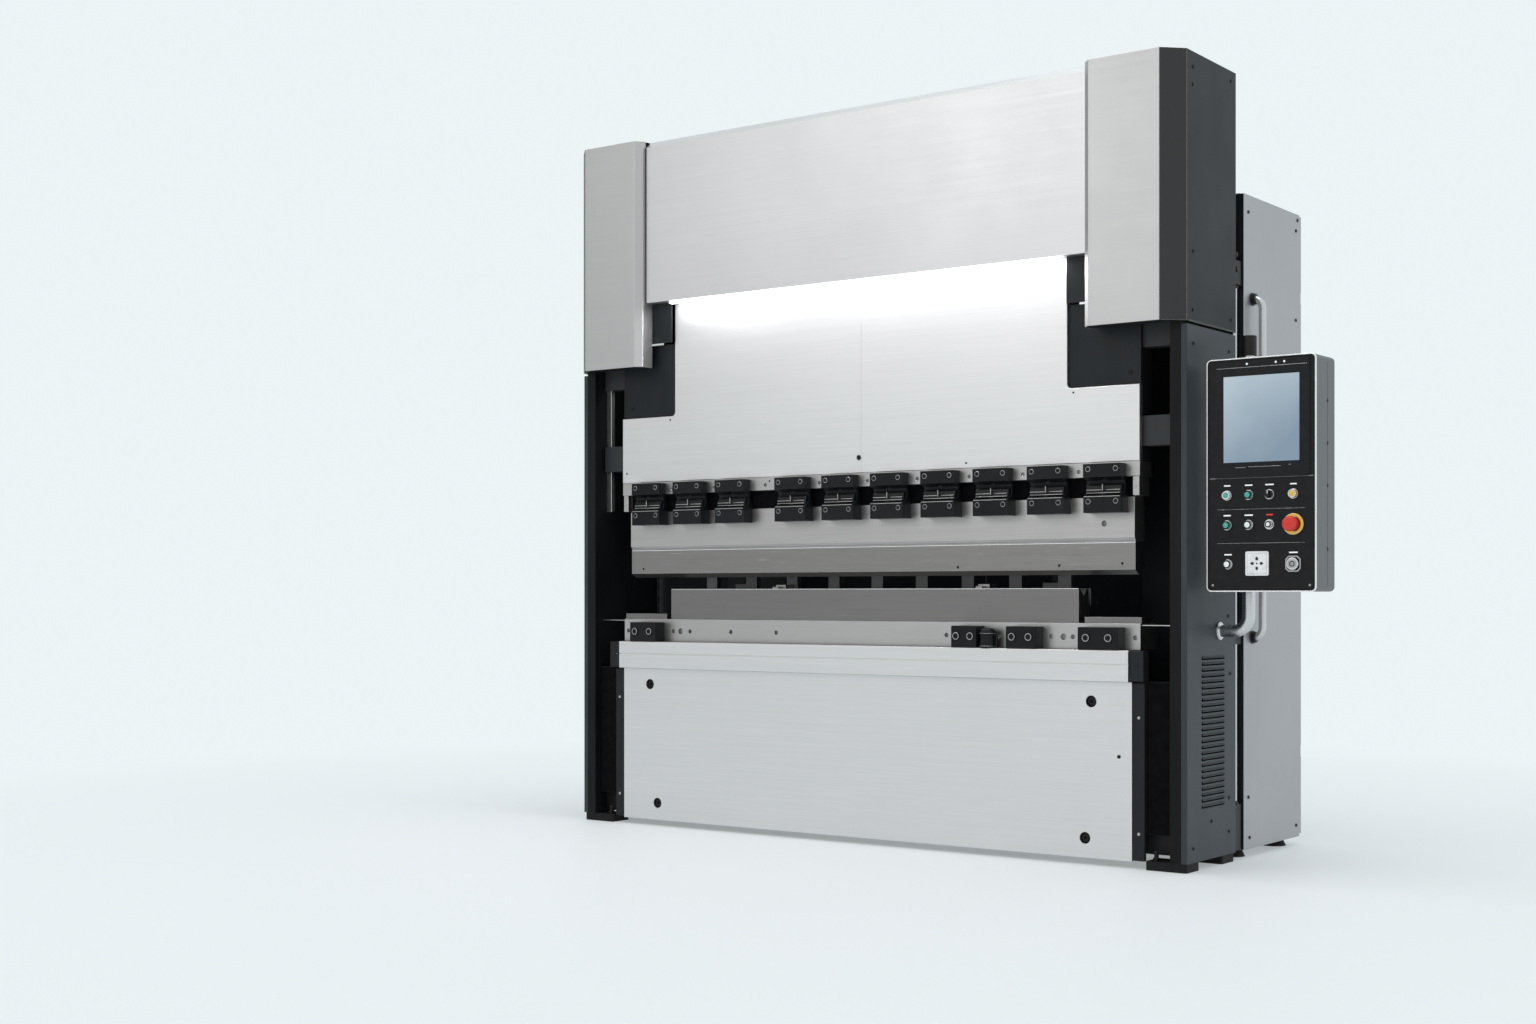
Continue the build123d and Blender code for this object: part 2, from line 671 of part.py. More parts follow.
with BuildPart() as post_fittings:
    for low, high in ((foot_height + 3, post_low), (post_high, post_cap_top)):
        block((post_x - fitting_half, post_x + fitting_half), (rear_y, cabinet_front), (low, high))
    fillet(post_fittings.edges().filter_by(Axis.Z), radius=6)
    with BuildSketch(Plane.XY.offset(collar_low)):
        with Locations((post_x, post_y)):
            Rectangle(2 * fitting_half, cabinet_gap)
            Circle(post_radius, mode=Mode.SUBTRACT)
    extrude(amount=collar_high - collar_low)
    mirror(about=Plane.YZ)
post_fittings.part.label = "post_fittings"
export_step(post_fittings.part, "parts/post_fittings.step")

# ---------------------------------------------------------------- hydraulic cylinders and ram guides
cap_thickness = 30.0
gland_height = 50.0

with BuildPart() as cylinders:
    with BuildSketch(Plane.XZ.offset(-bend_y)):
        with BuildLine():
            Polyline((rod_x + rod_radius + running_gap, cylinder_bottom),
                     (rod_x + barrel_radius, cylinder_bottom),
                     (rod_x + barrel_radius, cylinder_top), (rod_x, cylinder_top),
                     (rod_x, cylinder_top - cap_thickness),
                     (rod_x + bore_radius, cylinder_top - cap_thickness),
                     (rod_x + bore_radius, cylinder_bottom + gland_height),
                     (rod_x + rod_radius + running_gap, cylinder_bottom + gland_height), close=True)
        make_face()
    revolve(axis=Axis((rod_x, bend_y, 0), (0, 0, 1)))
    mirror(about=Plane.YZ)
cylinders.part.label = "cylinders"
export_step(cylinders.part, "parts/cylinders.step")

guide_bar_width = 22.0
guide_bar_height = 24.0
shoe_low = tool_bar_top + 50.0
guide_low = shoe_low - stroke_down - 108.0
guide_high = shoulder_top + stroke_up + 20.0

with BuildPart() as guide_rails:
    block((plate_inner - guide_bar_height, plate_inner),
          (bend_y - guide_bar_width / 2, bend_y + guide_bar_width / 2), (guide_low, guide_high))
    chamfer(guide_rails.edges().filter_by(Axis.Z).group_by(Axis.X)[0], length=2)
    mirror(about=Plane.YZ)
guide_rails.part.label = "guide_rails"
export_step(guide_rails.part, "parts/guide_rails.step")

# ---------------------------------------------------------------- panel screws
# Screw places (y, z) on the outer sides; they are unevenly spaced.
tower_screws = [(front_y + 49, machine_top - 50), (front_y + 49, machine_top - 107),
                (rear_y - 37, machine_top - 34), (front_y + 51, tower_bottom + 231),
                (front_y + 48, tower_bottom + 39), (rear_y - 37, tower_bottom + 39)]
column_screws = [(-1, 154), (rear_y - 55, 107), (front_y + 50, 77), (rear_y - 46, 641), (rear_y - 55, 221),
                 (rear_y - 63, 835), (front_y + 50, column_top - 60), (rear_y - 55, column_top - 60)]
cabinet_screws = [(cabinet_front + 39, cabinet_top - 59), (cabinet_rear - 41, cabinet_top - 21),
                  (cabinet_rear - 55, cabinet_top - 61), (cabinet_rear - 57, 1901), (cabinet_front + 49, 69),
                  (cabinet_rear - 53, 72), (cabinet_front + 39, 209)]

with BuildPart() as panel_screws:
    screw_row(tower_screws + column_screws + cabinet_screws, 6, 2.5, side_plane(outer_x))
    mirror(about=Plane.YZ)
    screw_row([(apron_half - 47, 368)], 6, 2.5, front_plane(apron_front))
panel_screws.part.label = "panel_screws"
export_step(panel_screws.part, "parts/panel_screws.step")

# ---------------------------------------------------------------- ram
with BuildPart() as ram_beam:
    neck_half = ram_half - notch_width
    with BuildSketch(front_plane(ram_rear)):
        with BuildLine():
            Polyline((-ram_half, tool_bar_top), (ram_half, tool_bar_top), (ram_half, shoulder_top),
                     (neck_half, shoulder_top), (neck_half, ram_top), (-neck_half, ram_top),
                     (-neck_half, shoulder_top), (-ram_half, shoulder_top), close=True)
        make_face()
    extrude(amount=ram_thickness)
ram_beam.part.label = "ram_beam"
export_step(ram_beam.part, "parts/ram_beam.step")

panel_top = ram_top - 10.0
notch_radius = 17.0

with BuildPart() as ram_panel:
    with BuildSketch(front_plane(ram_front)) as ram_outline:
        with BuildLine():
            Polyline((-ram_half, tool_bar_top), (ram_half, tool_bar_top), (ram_half, notch_z),
                     (neck_half, notch_z), (neck_half, panel_top), (-neck_half, panel_top),
                     (-neck_half, notch_z), (-ram_half, notch_z), close=True)
        make_face()
        inner_corners = ram_outline.vertices().filter_by_position(Axis.X, -neck_half - 1, neck_half + 1)
        fillet(inner_corners.group_by(Axis.Y)[0], radius=notch_radius)
    extrude(amount=ram_panel_thickness)
    fillet(ram_panel.faces().sort_by(Axis.Y)[0].outer_wire().edges(), radius=edge_round * 0.6)
ram_panel.part.label = "ram_panel"
export_step(ram_panel.part, "parts/ram_panel.step")

shoulder_gap = 3.0
shoulder_thickness = 10.0

with BuildPart() as shoulder_plates:
    with BuildSketch(front_plane(ram_front)) as shoulder_outline:
        with BuildLine():
            Polyline((neck_half + shoulder_gap, notch_z + shoulder_gap), (ram_half, notch_z + shoulder_gap),
                     (ram_half, shoulder_top), (neck_half + shoulder_gap, shoulder_top), close=True)
        make_face()
        fillet(shoulder_outline.vertices().group_by(Axis.X)[0].sort_by(Axis.Y)[0], radius=notch_radius)
    extrude(amount=shoulder_thickness)
    mirror(about=Plane.YZ)
    shoulder_screws = [(ram_half - 40, notch_z + 42), (-ram_half + 40, notch_z + 42)]
    screw_row(shoulder_screws, 8, 4, front_plane(ram_front - shoulder_thickness))
shoulder_plates.part.label = "shoulder_plates"
export_step(shoulder_plates.part, "parts/shoulder_plates.step")

# Clamp centres: a long group from the right end of the punch and a short one from the left end.
right_group = []
centre = punch_half - clamp_end
while centre > -0.3 * punch_half:
    right_group.append(centre)
    centre -= clamp_pitch
left_group = []
centre = -punch_half + clamp_end_left
while centre <= right_group[-1] - clamp_group_gap:
    left_group.append(centre)
    centre += clamp_pitch_left
clamp_centres = sorted(left_group + right_group)

bar_front = ram_panel_front + 2.0
holder_half = tool_thickness / 2 - 8.0

with BuildPart() as tool_bar:
    block((-ram_half, ram_half), (bar_front, ram_rear), (tool_bar_bottom, tool_bar_top))
    fillet(tool_bar.edges().filter_by(Axis.X).group_by(Axis.Y)[0], radius=edge_round * 0.6)
    block((-punch_half, punch_half), (bend_y - holder_half, bend_y + holder_half),
          (punch_top, tool_bar_bottom))
    gap_centres = [(low + high) / 2 for low, high in zip(clamp_centres, clamp_centres[1:])]
    with BuildSketch(front_plane(bar_front)):
        with Locations(*[(gap_x, tool_bar_bottom + 20) for gap_x in gap_centres]):
            Circle(7)
        with Locations(*[(gap_x + 20, tool_bar_bottom + 34) for gap_x in gap_centres]):
            Circle(4)
    extrude(amount=-12, mode=Mode.SUBTRACT)
tool_bar.part.label = "tool_bar"
export_step(tool_bar.part, "parts/tool_bar.step")

punch_hole_depth = 20.0
groove_high = punch_bottom + 108.0
groove_low = punch_bottom + 96.0
lower_setback = 6.0
nose_half = 4.0

with BuildPart() as punch:
    with BuildSketch(side_plane(-punch_half)):
        with BuildLine():
            Polyline((tool_front, punch_top), (tool_front, groove_high),
                     (tool_front + lower_setback + 3, groove_low),
                     (tool_front + lower_setback, groove_low - 4), (tool_front + lower_setback, punch_bottom),
                     (bend_y - nose_half, punch_bottom - nose_height),
                     (bend_y + nose_half, punch_bottom - nose_height),
                     (tool_rear - lower_setback, punch_bottom), (tool_rear, groove_low),
                     (tool_rear, punch_top), close=True)
        make_face()
    extrude(amount=2 * punch_half)
    with BuildSketch(front_plane(tool_front)):
        with Locations((punch_half - 112, punch_bottom + 156)):
            Circle(10)
        with Locations((punch_half - 48, punch_bottom + 21), (punch_half - 285, punch_bottom + 16),
                       (punch_half - 688, punch_bottom + 13), (-punch_half + 60, punch_bottom + 18)):
            Circle(5)
    extrude(amount=-punch_hole_depth, mode=Mode.SUBTRACT)
punch.part.label = "punch"
export_step(punch.part, "parts/punch.step")

# A clamp hooks over the tool bar and presses on the punch; side profile in Y and Z.
clamp_top = tool_bar_bottom + 43.0
clamp_upper_low = tool_bar_bottom - 1.0
clamp_lower_top = punch_top + 2.0
clamp_bottom = punch_top - 53.0
clamp_upper_front = bar_front - 42.0
clamp_lower_front = tool_front - 57.0
clamp_waist = bar_front - 16.0
lever_slot_width = 16.0

with BuildPart() as clamp_bodies:
    for centre in clamp_centres:
        with BuildSketch(side_plane(centre - clamp_width / 2)):
            with BuildLine():
                Polyline((bar_front, clamp_top), (clamp_upper_front, clamp_top),
                         (clamp_upper_front, clamp_upper_low),
                         (clamp_waist, clamp_upper_low - 12))
                ThreePointArc((clamp_waist, clamp_upper_low - 12), (clamp_waist + 6, punch_top + 34),
                              (clamp_waist, clamp_lower_top + 12))
                Polyline((clamp_waist, clamp_lower_top + 12), (clamp_lower_front, clamp_lower_top),
                         (clamp_lower_front, clamp_bottom), (tool_front, clamp_bottom),
                         (tool_front, punch_top),
                         (bar_front, tool_bar_bottom - 8), (bar_front, clamp_top))
            make_face()
        extrude(amount=clamp_width)
    slots = [(centre, (clamp_upper_low + clamp_lower_top) / 2) for centre in clamp_centres]
    with BuildSketch(front_plane(clamp_lower_front)):
        with Locations(*slots):
            Rectangle(lever_slot_width, clamp_upper_low - clamp_lower_top + 8)
    extrude(amount=-(clamp_waist - clamp_lower_front) + 2, mode=Mode.SUBTRACT)
clamp_bodies.part.label = "clamp_bodies"
export_step(clamp_bodies.part, "parts/clamp_bodies.step")

with BuildPart() as clamp_screws:
    upper_row = []
    lower_row = []
    for centre in clamp_centres:
        for offset_x in (-clamp_screw_offset, clamp_screw_offset):
            upper_row.append((centre + offset_x, tool_bar_bottom + 25))
            lower_row.append((centre + offset_x, punch_top - 15))
    screw_row(upper_row, clamp_screw_radius, 2.5, front_plane(clamp_upper_front))
    screw_row(lower_row, clamp_screw_radius, 2.5, front_plane(clamp_lower_front))
clamp_screws.part.label = "clamp_screws"
export_step(clamp_screws.part, "parts/clamp_screws.step")

rod_top = cylinder_bottom + 220.0
rod_block_width = 120.0
rod_block_depth = 2 * rod_radius + 24.0

with BuildPart() as piston_rods:
    with Locations((rod_x, bend_y, shoulder_top)):
        Box(rod_block_width, rod_block_depth, rod_block_height, align=(Align.CENTER, Align.CENTER, Align.MIN))
    with Locations((rod_x, bend_y, shoulder_top + rod_block_height)):
        Cylinder(rod_radius, rod_top - shoulder_top - rod_block_height,
                 align=(Align.CENTER, Align.CENTER, Align.MIN))
    with Locations((rod_x, bend_y, rod_top)):
        Cylinder(piston_radius, piston_height, align=(Align.CENTER, Align.CENTER, Align.MIN))
    mirror(about=Plane.YZ)
piston_rods.part.label = "piston_rods"
export_step(piston_rods.part, "parts/piston_rods.step")

shoe_half = 29.0
shoe_height = 100.0
shoe_high = shoulder_top - 60.0 - shoe_height
shoe_end = plate_inner - 6.0

with BuildPart() as guide_shoes:
    for shoe_z in (shoe_low, shoe_high):
        block((ram_half, shoe_end), (bend_y - shoe_half, bend_y + shoe_half), (shoe_z, shoe_z + shoe_height))
    block((plate_inner - guide_bar_height - slide_gap, plate_inner),
          (bend_y - guide_bar_width / 2 - slide_gap, bend_y + guide_bar_width / 2 + slide_gap),
          (shoe_low, shoe_high + shoe_height), mode=Mode.SUBTRACT)
    mirror(about=Plane.YZ)
guide_shoes.part.label = "guide_shoes"
export_step(guide_shoes.part, "parts/guide_shoes.step")

# ---------------------------------------------------------------- back gauge
console_x = 0.55 * plate_inner
console_half = 40.0
console_top = table_bottom
console_height = 100.0
console_rear = cabinet_rear - 146.0
gauge_rail_height = 20.0
gauge_rail_half = 10.0
carriage_half = 34.0
beam_pad_half = 40.0          # pads that join the gauge beam to its columns
tie_height = 40.0             # cross tie between the two carriages
column_rise = 110.0           # column top above the gauge beam
beam_front_y = tool_rear + 76.0
beam_y = (beam_front_y, beam_front_y + 50.0)
column_y = (beam_y[1] + 38.0, beam_y[1] + 82.0)
carriage_y = (column_y[0] - 28.0, column_y[1] + 28.0)
carriage_top = console_top + gauge_rail_height + 60.0
column_half = 22.0
gauge_beam_height = 60.0
gauge_beam_top = die_top
gauge_beam_low = gauge_beam_top - gauge_beam_height
stop_pitch = 0.286 * console_x
stop_count = 9
stop_shift = -40.0
stop_width = 50.0
stop_depth = 24.0
stop_rise = 40.0              # stop top above the punch bottom
gauge_beam_half = stop_pitch * (stop_count - 1) / 2 + stop_width / 2 - stop_shift + 10.0

with BuildPart() as gauge_rails:
    console_z = (console_top - console_height, console_top)
    block((console_x - console_half, console_x + console_half), (lower_beam_rear, console_rear), console_z)
    block((console_x - gauge_rail_half, console_x + gauge_rail_half), (lower_beam_rear + 70, console_rear),
          (console_top, console_top + gauge_rail_height))
    mirror(about=Plane.YZ)
gauge_rails.part.label = "gauge_rails"
export_step(gauge_rails.part, "parts/gauge_rails.step")

with BuildPart() as gauge_carriage:
    for side in (-1, 1):
        rail_x = side * console_x
        block((rail_x - carriage_half, rail_x + carriage_half), carriage_y,
              (console_top + slide_gap, carriage_top))
        block((rail_x - gauge_rail_half - slide_gap, rail_x + gauge_rail_half + slide_gap), carriage_y,
              (console_top, console_top + gauge_rail_height + slide_gap), mode=Mode.SUBTRACT)
    block((-console_x - carriage_half, console_x + carriage_half), (column_y[0] - 3, column_y[1] + 3),
          (carriage_top, carriage_top + tie_height))
    for side in (-1, 1):
        block((side * console_x - column_half, side * console_x + column_half), column_y,
              (carriage_top + tie_height, gauge_beam_top + column_rise))
gauge_carriage.part.label = "gauge_carriage"
export_step(gauge_carriage.part, "parts/gauge_carriage.step")

with BuildPart() as gauge_beam:
    block((-gauge_beam_half, gauge_beam_half), beam_y, (gauge_beam_low, gauge_beam_top))
    for side in (-1, 1):
        block((side * console_x - beam_pad_half, side * console_x + beam_pad_half),
              (beam_y[1], column_y[0] - slide_gap),
              (gauge_beam_low, gauge_beam_top + 20))
    with BuildSketch(Plane.XY.offset(gauge_beam_top)):
        with Locations((stop_shift, beam_y[1] - stop_depth / 2)):
            with GridLocations(stop_pitch, 1, stop_count, 1):
                Rectangle(stop_width, stop_depth)
    extrude(amount=punch_bottom + stop_rise - gauge_beam_top)
gauge_beam.part.label = "gauge_beam"
export_step(gauge_beam.part, "parts/gauge_beam.step")

finger_width = 46.0
finger_at = 0.36 * plate_inner
finger_plate = 24.0
finger_reach = 60.0
finger_tip_inset = 10.0
finger_tip_z = (gauge_beam_top - 24.0, gauge_beam_top + 8.0)

for side_name, side in (("left", -1), ("right", 1)):
    with BuildPart() as finger:
        finger_x = (side * finger_at - finger_width / 2, side * finger_at + finger_width / 2)
        block(finger_x, (beam_y[0] - finger_plate, beam_y[0] - slide_gap),
              (gauge_beam_low - 12, gauge_beam_top))
        block(finger_x, (beam_y[0] - finger_plate, beam_y[1] - stop_depth - 2),
              (gauge_beam_top + slide_gap, gauge_beam_top + 16))
        block((finger_x[0] + finger_tip_inset, finger_x[1] - finger_tip_inset),
              (beam_y[0] - finger_reach, beam_y[0] - finger_plate), finger_tip_z)
    finger.part.label = f"gauge_finger_{side_name}"
    export_step(finger.part, f"parts/gauge_finger_{side_name}.step")

# ---------------------------------------------------------------- cabinet door and rear guard doors
door_x = (cabinet_inner_x + 2, outer_x - 2)
door_grip_at = (door_x[0] + 45.0, 1150.0)
door_grip_depth = 14.0

with BuildPart() as cabinet_door:
    block(door_x, (door_plane, cabinet_rear), (foot_height + 10, cabinet_top - 4))
    fillet(cabinet_door.edges().group_by(Axis.Y)[-1], radius=edge_round)
    with BuildSketch(front_plane(cabinet_rear)):
        with Locations(door_grip_at):
            SlotOverall(grip_height, grip_width, rotation=90)
    extrude(amount=door_grip_depth, mode=Mode.SUBTRACT)
    hinge_sockets(cabinet_hinge_x, 1, cabinet_hinges)
cabinet_door.part.label = "cabinet_door"
export_step(cabinet_door.part, "parts/cabinet_door.step")

guard_half = cabinet_inner_x - 6.0
guard_slot_pitch = 44.0
guard_slot_count = 12
guard_slot_height = 12.0
guard_slot_share = 0.62       # of the door's width
guard_slots_z = rear_door_top - 420.0
guard_grip_at = (60.0, 1100.0)
guard_centre_gap = 3.0        # half the gap between the two doors

for side_name, side in (("left", -1), ("right", 1)):
    with BuildPart() as guard_door:
        door_span = sorted((side * guard_centre_gap, side * guard_half))
        block(door_span, (cabinet_rear - guard_thickness, cabinet_rear), (rear_door_bottom, rear_door_top))
        fillet(guard_door.edges().group_by(Axis.Y)[-1], radius=edge_round)
        with BuildSketch(front_plane(cabinet_rear)):
            with Locations((side * guard_half / 2, guard_slots_z)):
                with GridLocations(1, guard_slot_pitch, 1, guard_slot_count):
                    SlotOverall(guard_half * guard_slot_share, guard_slot_height)
            with Locations((side * guard_grip_at[0], guard_grip_at[1])):
                SlotOverall(grip_height, grip_width, rotation=90)
        extrude(amount=guard_thickness * 0.6, mode=Mode.SUBTRACT)
        hinge_sockets(side * guard_hinge_x, side, guard_hinges)
    guard_door.part.label = f"rear_door_{side_name}"
    export_step(guard_door.part, f"parts/rear_door_{side_name}.step")

# ---------------------------------------------------------------- pendant arm and housing
arm_flange_radius = 30.0
arm_flange = 6.0
arm_bend = 52.0
arm_cap_radius = 25.0
arm_cap = 65.0

with BuildPart() as pendant_arm:
    with BuildSketch(side_plane(outer_x)):
        with Locations((axis_y, arm_height)):
            Circle(arm_flange_radius)
    extrude(amount=arm_flange)
    with BuildLine() as arm_route:
        FilletPolyline((outer_x + arm_flange, axis_y, arm_height), (axis_x, axis_y, arm_height),
                       (axis_x, axis_y, arm_top - arm_cap), radius=arm_bend)
    with BuildSketch(Plane(origin=arm_route.line @ 0, z_dir=arm_route.line % 0)):
        Circle(tube_radius)
    sweep(path=arm_route.line)
    with Locations((axis_x, axis_y, arm_top - arm_cap)):
        Cylinder(arm_cap_radius, arm_cap, align=(Align.CENTER, Align.CENTER, Align.MIN))
pendant_arm.part.label = "pendant_arm"
export_step(pendant_arm.part, "parts/pendant_arm.step")

pendant_x = (pendant_left + pendant_right) / 2
pendant_z = (pendant_bottom + pendant_top) / 2
face_inset = 6.0
face_depth = 8.0
ring_radius = 34.0
ring_height = 50.0
ring_levels = (pendant_bottom + 90.0, pendant_top - 90.0 - ring_height)

with BuildPart() as pendant_housing:
    with BuildSketch(front_plane(pendant_rear)):
        with Locations((pendant_x, pendant_z)):
            RectangleRounded(pendant_width, pendant_height, pendant_corner)
    extrude(amount=pendant_depth)
    fillet(pendant_housing.faces().sort_by(Axis.Y)[0].outer_wire().edges(), radius=edge_round)
    with BuildSketch(front_plane(pendant_front)):
        with Locations((pendant_x, pendant_z)):
            RectangleRounded(pendant_width - 2 * face_inset, pendant_height - 2 * face_inset,
                             pendant_corner - face_inset)
    extrude(amount=-face_depth, mode=Mode.SUBTRACT)
    for level in ring_levels:
        with BuildSketch(Plane.XY.offset(level)):
            with Locations((axis_x, axis_y)):
                Circle(ring_radius)
            with Locations((axis_x, (axis_y + pendant_rear) / 2)):
                Rectangle(2 * ring_radius, axis_y - pendant_rear)
            with Locations((axis_x, axis_y)):
                Circle(tube_radius + running_gap, mode=Mode.SUBTRACT)
        extrude(amount=ring_height)
pendant_housing.part.label = "pendant_housing"
export_step(pendant_housing.part, "parts/pendant_housing.step")

# Control places on the pendant face: x from the left edge, z from the bottom edge.
columns = [pendant_left + 70, pendant_left + 143, pendant_left + 213, pendant_left + 292]
rows = [pendant_bottom + 310, pendant_bottom + 214, pendant_bottom + 88]
well_depth = 5.0
round_controls = {
    "button_white_1": (columns[0], rows[0]), "button_green_1": (columns[1], rows[0]),
    "selector_knob": (columns[2], rows[0]), "button_amber": (columns[3], rows[0]),
    "button_green_2": (columns[0], rows[1]), "button_white_2": (columns[1], rows[1]),
    "button_white_small": (columns[2], rows[1]), "estop_button": (columns[3], rows[1]),
    "button_white_3": (columns[0] + 3, rows[2]), "key_switch": (columns[3], rows[2])}
jog_place = (columns[1] + 30, rows[2] + 2)
jog_size = 78.0
stem_radius = 9.0
stem_gap = 0.5
face_setback = 2.0
face_front = pendant_front + face_setback
face_corner_gap = 0.3
screen_frame_height = 3.0     # raised frame round the screen
screen_frame_size = (pendant_width - 46.0, 376.0)
screen_frame_at = (pendant_x + 3.0, pendant_top - 197.0)
screen_gap = 0.2
face_plane = front_plane(face_front)
screen_size = (255.0, 277.0)
screen_at = (pendant_x + 2, pendant_top - 58.0 - screen_size[1] / 2)

with BuildPart() as pendant_face:
    with BuildSketch(front_plane(pendant_front + face_depth)):
        with Locations((pendant_x, pendant_z)):
            RectangleRounded(pendant_width - 2 * (face_inset + face_corner_gap),
                             pendant_height - 2 * (face_inset + face_corner_gap), pendant_corner - face_inset)
    extrude(amount=face_depth - face_setback)
    with BuildSketch(face_plane):
        with Locations(screen_frame_at):
            RectangleRounded(*screen_frame_size, 8)
    extrude(amount=screen_frame_height)
    with BuildSketch(front_plane(face_front - screen_frame_height)):
        with Locations(screen_at):
            Rectangle(*screen_size)
    extrude(amount=-5, mode=Mode.SUBTRACT)
    with BuildSketch(face_plane):
        with Locations(*round_controls.values(), jog_place):
            Circle(stem_radius + stem_gap)
    extrude(amount=-well_depth, mode=Mode.SUBTRACT)
pendant_face.part.label = "pendant_face"
export_step(pendant_face.part, "parts/pendant_face.step")

with BuildPart() as pendant_screen:
    with BuildSketch(front_plane(face_front + 2)):
        with Locations(screen_at):
            Rectangle(screen_size[0] - 2 * screen_gap, screen_size[1] - 2 * screen_gap)
    extrude(amount=screen_frame_height)
pendant_screen.part.label = "pendant_screen"
export_step(pendant_screen.part, "parts/pendant_screen.step")

bezel_height = 4.0
bezel_radius = 16.0
estop_bezel_radius = 33.0

with BuildPart() as control_bezels:
    with BuildSketch(face_plane):
        for name, place in round_controls.items():
            with Locations(place):
                Circle(estop_bezel_radius if name == "estop_button" else bezel_radius)
                Circle(stem_radius + stem_gap, mode=Mode.SUBTRACT)
    extrude(amount=bezel_height)
    fillet(control_bezels.faces().sort_by(Axis.Y)[0:10].edges().filter_by(GeomType.CIRCLE), radius=0.6)
control_bezels.part.label = "control_bezels"
export_step(control_bezels.part, "parts/control_bezels.step")

# ---------------------------------------------------------------- pendant controls
button_travel = 3.0
button_head = 6.5
button_radius = 12.5
small_button_radius = 8.0
head_gap = 0.4                # control head to its bezel at the end of the stroke
knob_reach = 4.6              # stem length over and above the bezel's height
bezel_front = face_front - bezel_height

for name, place in round_controls.items():
    if name in ("estop_button", "selector_knob", "key_switch"):
        continue
    with BuildPart() as button:
        with BuildSketch(front_plane(face_front + 1)):
            with Locations(place):
                Circle(stem_radius)
        extrude(amount=bezel_height + button_travel + 1.5)
        with BuildSketch(front_plane(bezel_front - button_travel - head_gap)):
            with Locations(place):
                Circle(small_button_radius if name == "button_white_small" else button_radius)
        extrude(amount=button_head)
        fillet(button.faces().sort_by(Axis.Y)[0].edges(), radius=2)
    button.part.label = name
    export_step(button.part, f"parts/{name}.step")

estop_travel = 5.0
estop_radius = 24.0
estop_neck_radius = 16.0
estop_neck = 14.0
estop_head = 18.0

with BuildPart() as estop_button:
    with BuildSketch(front_plane(face_front - 0.5)):
        with Locations(round_controls["estop_button"]):
            Circle(stem_radius)
    extrude(amount=bezel_height + estop_travel)
    with BuildSketch(front_plane(bezel_front - estop_travel - 0.5)):
        with Locations(round_controls["estop_button"]):
            Circle(estop_neck_radius)
    extrude(amount=estop_neck)
    with BuildSketch(front_plane(bezel_front - estop_travel - 0.5 - estop_neck)):
        with Locations(round_controls["estop_button"]):
            Circle(estop_radius)
    extrude(amount=estop_head)
    fillet(estop_button.faces().sort_by(Axis.Y)[0].edges(), radius=8)
estop_button.part.label = "estop_button"
export_step(estop_button.part, "parts/estop_button.step")

knob_radius = 13.0
knob_base = 6.0

with BuildPart() as selector_knob:
    with BuildSketch(front_plane(face_front + 4)):
        with Locations(round_controls["selector_knob"]):
            Circle(stem_radius)
    extrude(amount=bezel_height + knob_reach)
    with BuildSketch(front_plane(bezel_front - head_gap)):
        with Locations(round_controls["selector_knob"]):
            Circle(knob_radius)
    extrude(amount=knob_base)
    with BuildSketch(front_plane(bezel_front - head_gap - knob_base)):
        with Locations(round_controls["selector_knob"]):
            SlotOverall(25, 8, rotation=90)
    extrude(amount=9)
    fillet(selector_knob.faces().sort_by(Axis.Y)[0].edges(), radius=1.5)
selector_knob.part.label = "selector_knob"
export_step(selector_knob.part, "parts/selector_knob.step")

key_radius = 20.0
key_head = 8.0

with BuildPart() as key_switch:
    with BuildSketch(front_plane(face_front + 4)):
        with Locations(round_controls["key_switch"]):
            Circle(stem_radius)
    extrude(amount=bezel_height + knob_reach)
    with BuildSketch(front_plane(bezel_front - head_gap)):
        with Locations(round_controls["key_switch"]):
            Circle(key_radius)
    extrude(amount=key_head)
    fillet(key_switch.faces().sort_by(Axis.Y)[0].edges(), radius=2)
    with BuildSketch(front_plane(bezel_front - head_gap - key_head)):
        with Locations(round_controls["key_switch"]):
            SlotOverall(14, 3, rotation=90)
    extrude(amount=-4, mode=Mode.SUBTRACT)
key_switch.part.label = "key_switch"
export_step(key_switch.part, "parts/key_switch.step")

jog_travel = 1.5

with BuildPart() as jog_pad:
    with BuildSketch(front_plane(face_front + 1)):
        with Locations(jog_place):
            Circle(stem_radius)
    extrude(amount=jog_travel + 2)
    with BuildSketch(front_plane(face_front - jog_travel - 0.5)):
        with Locations(jog_place):
            RectangleRounded(jog_size, jog_size, 6)
    extrude(amount=5)
    fillet(jog_pad.faces().sort_by(Axis.Y)[0].edges(), radius=1.2)
jog_pad.part.label = "jog_pad"
export_step(jog_pad.part, "parts/jog_pad.step")
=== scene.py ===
"""Looks of the press brake: materials, fine detail, studio floor, light and camera.

Metres, +Z up; the machine's front faces -Y and the pendant is on the +X side.
"""
import json
import math

import bmesh
import bpy
from mathutils import Matrix, Vector


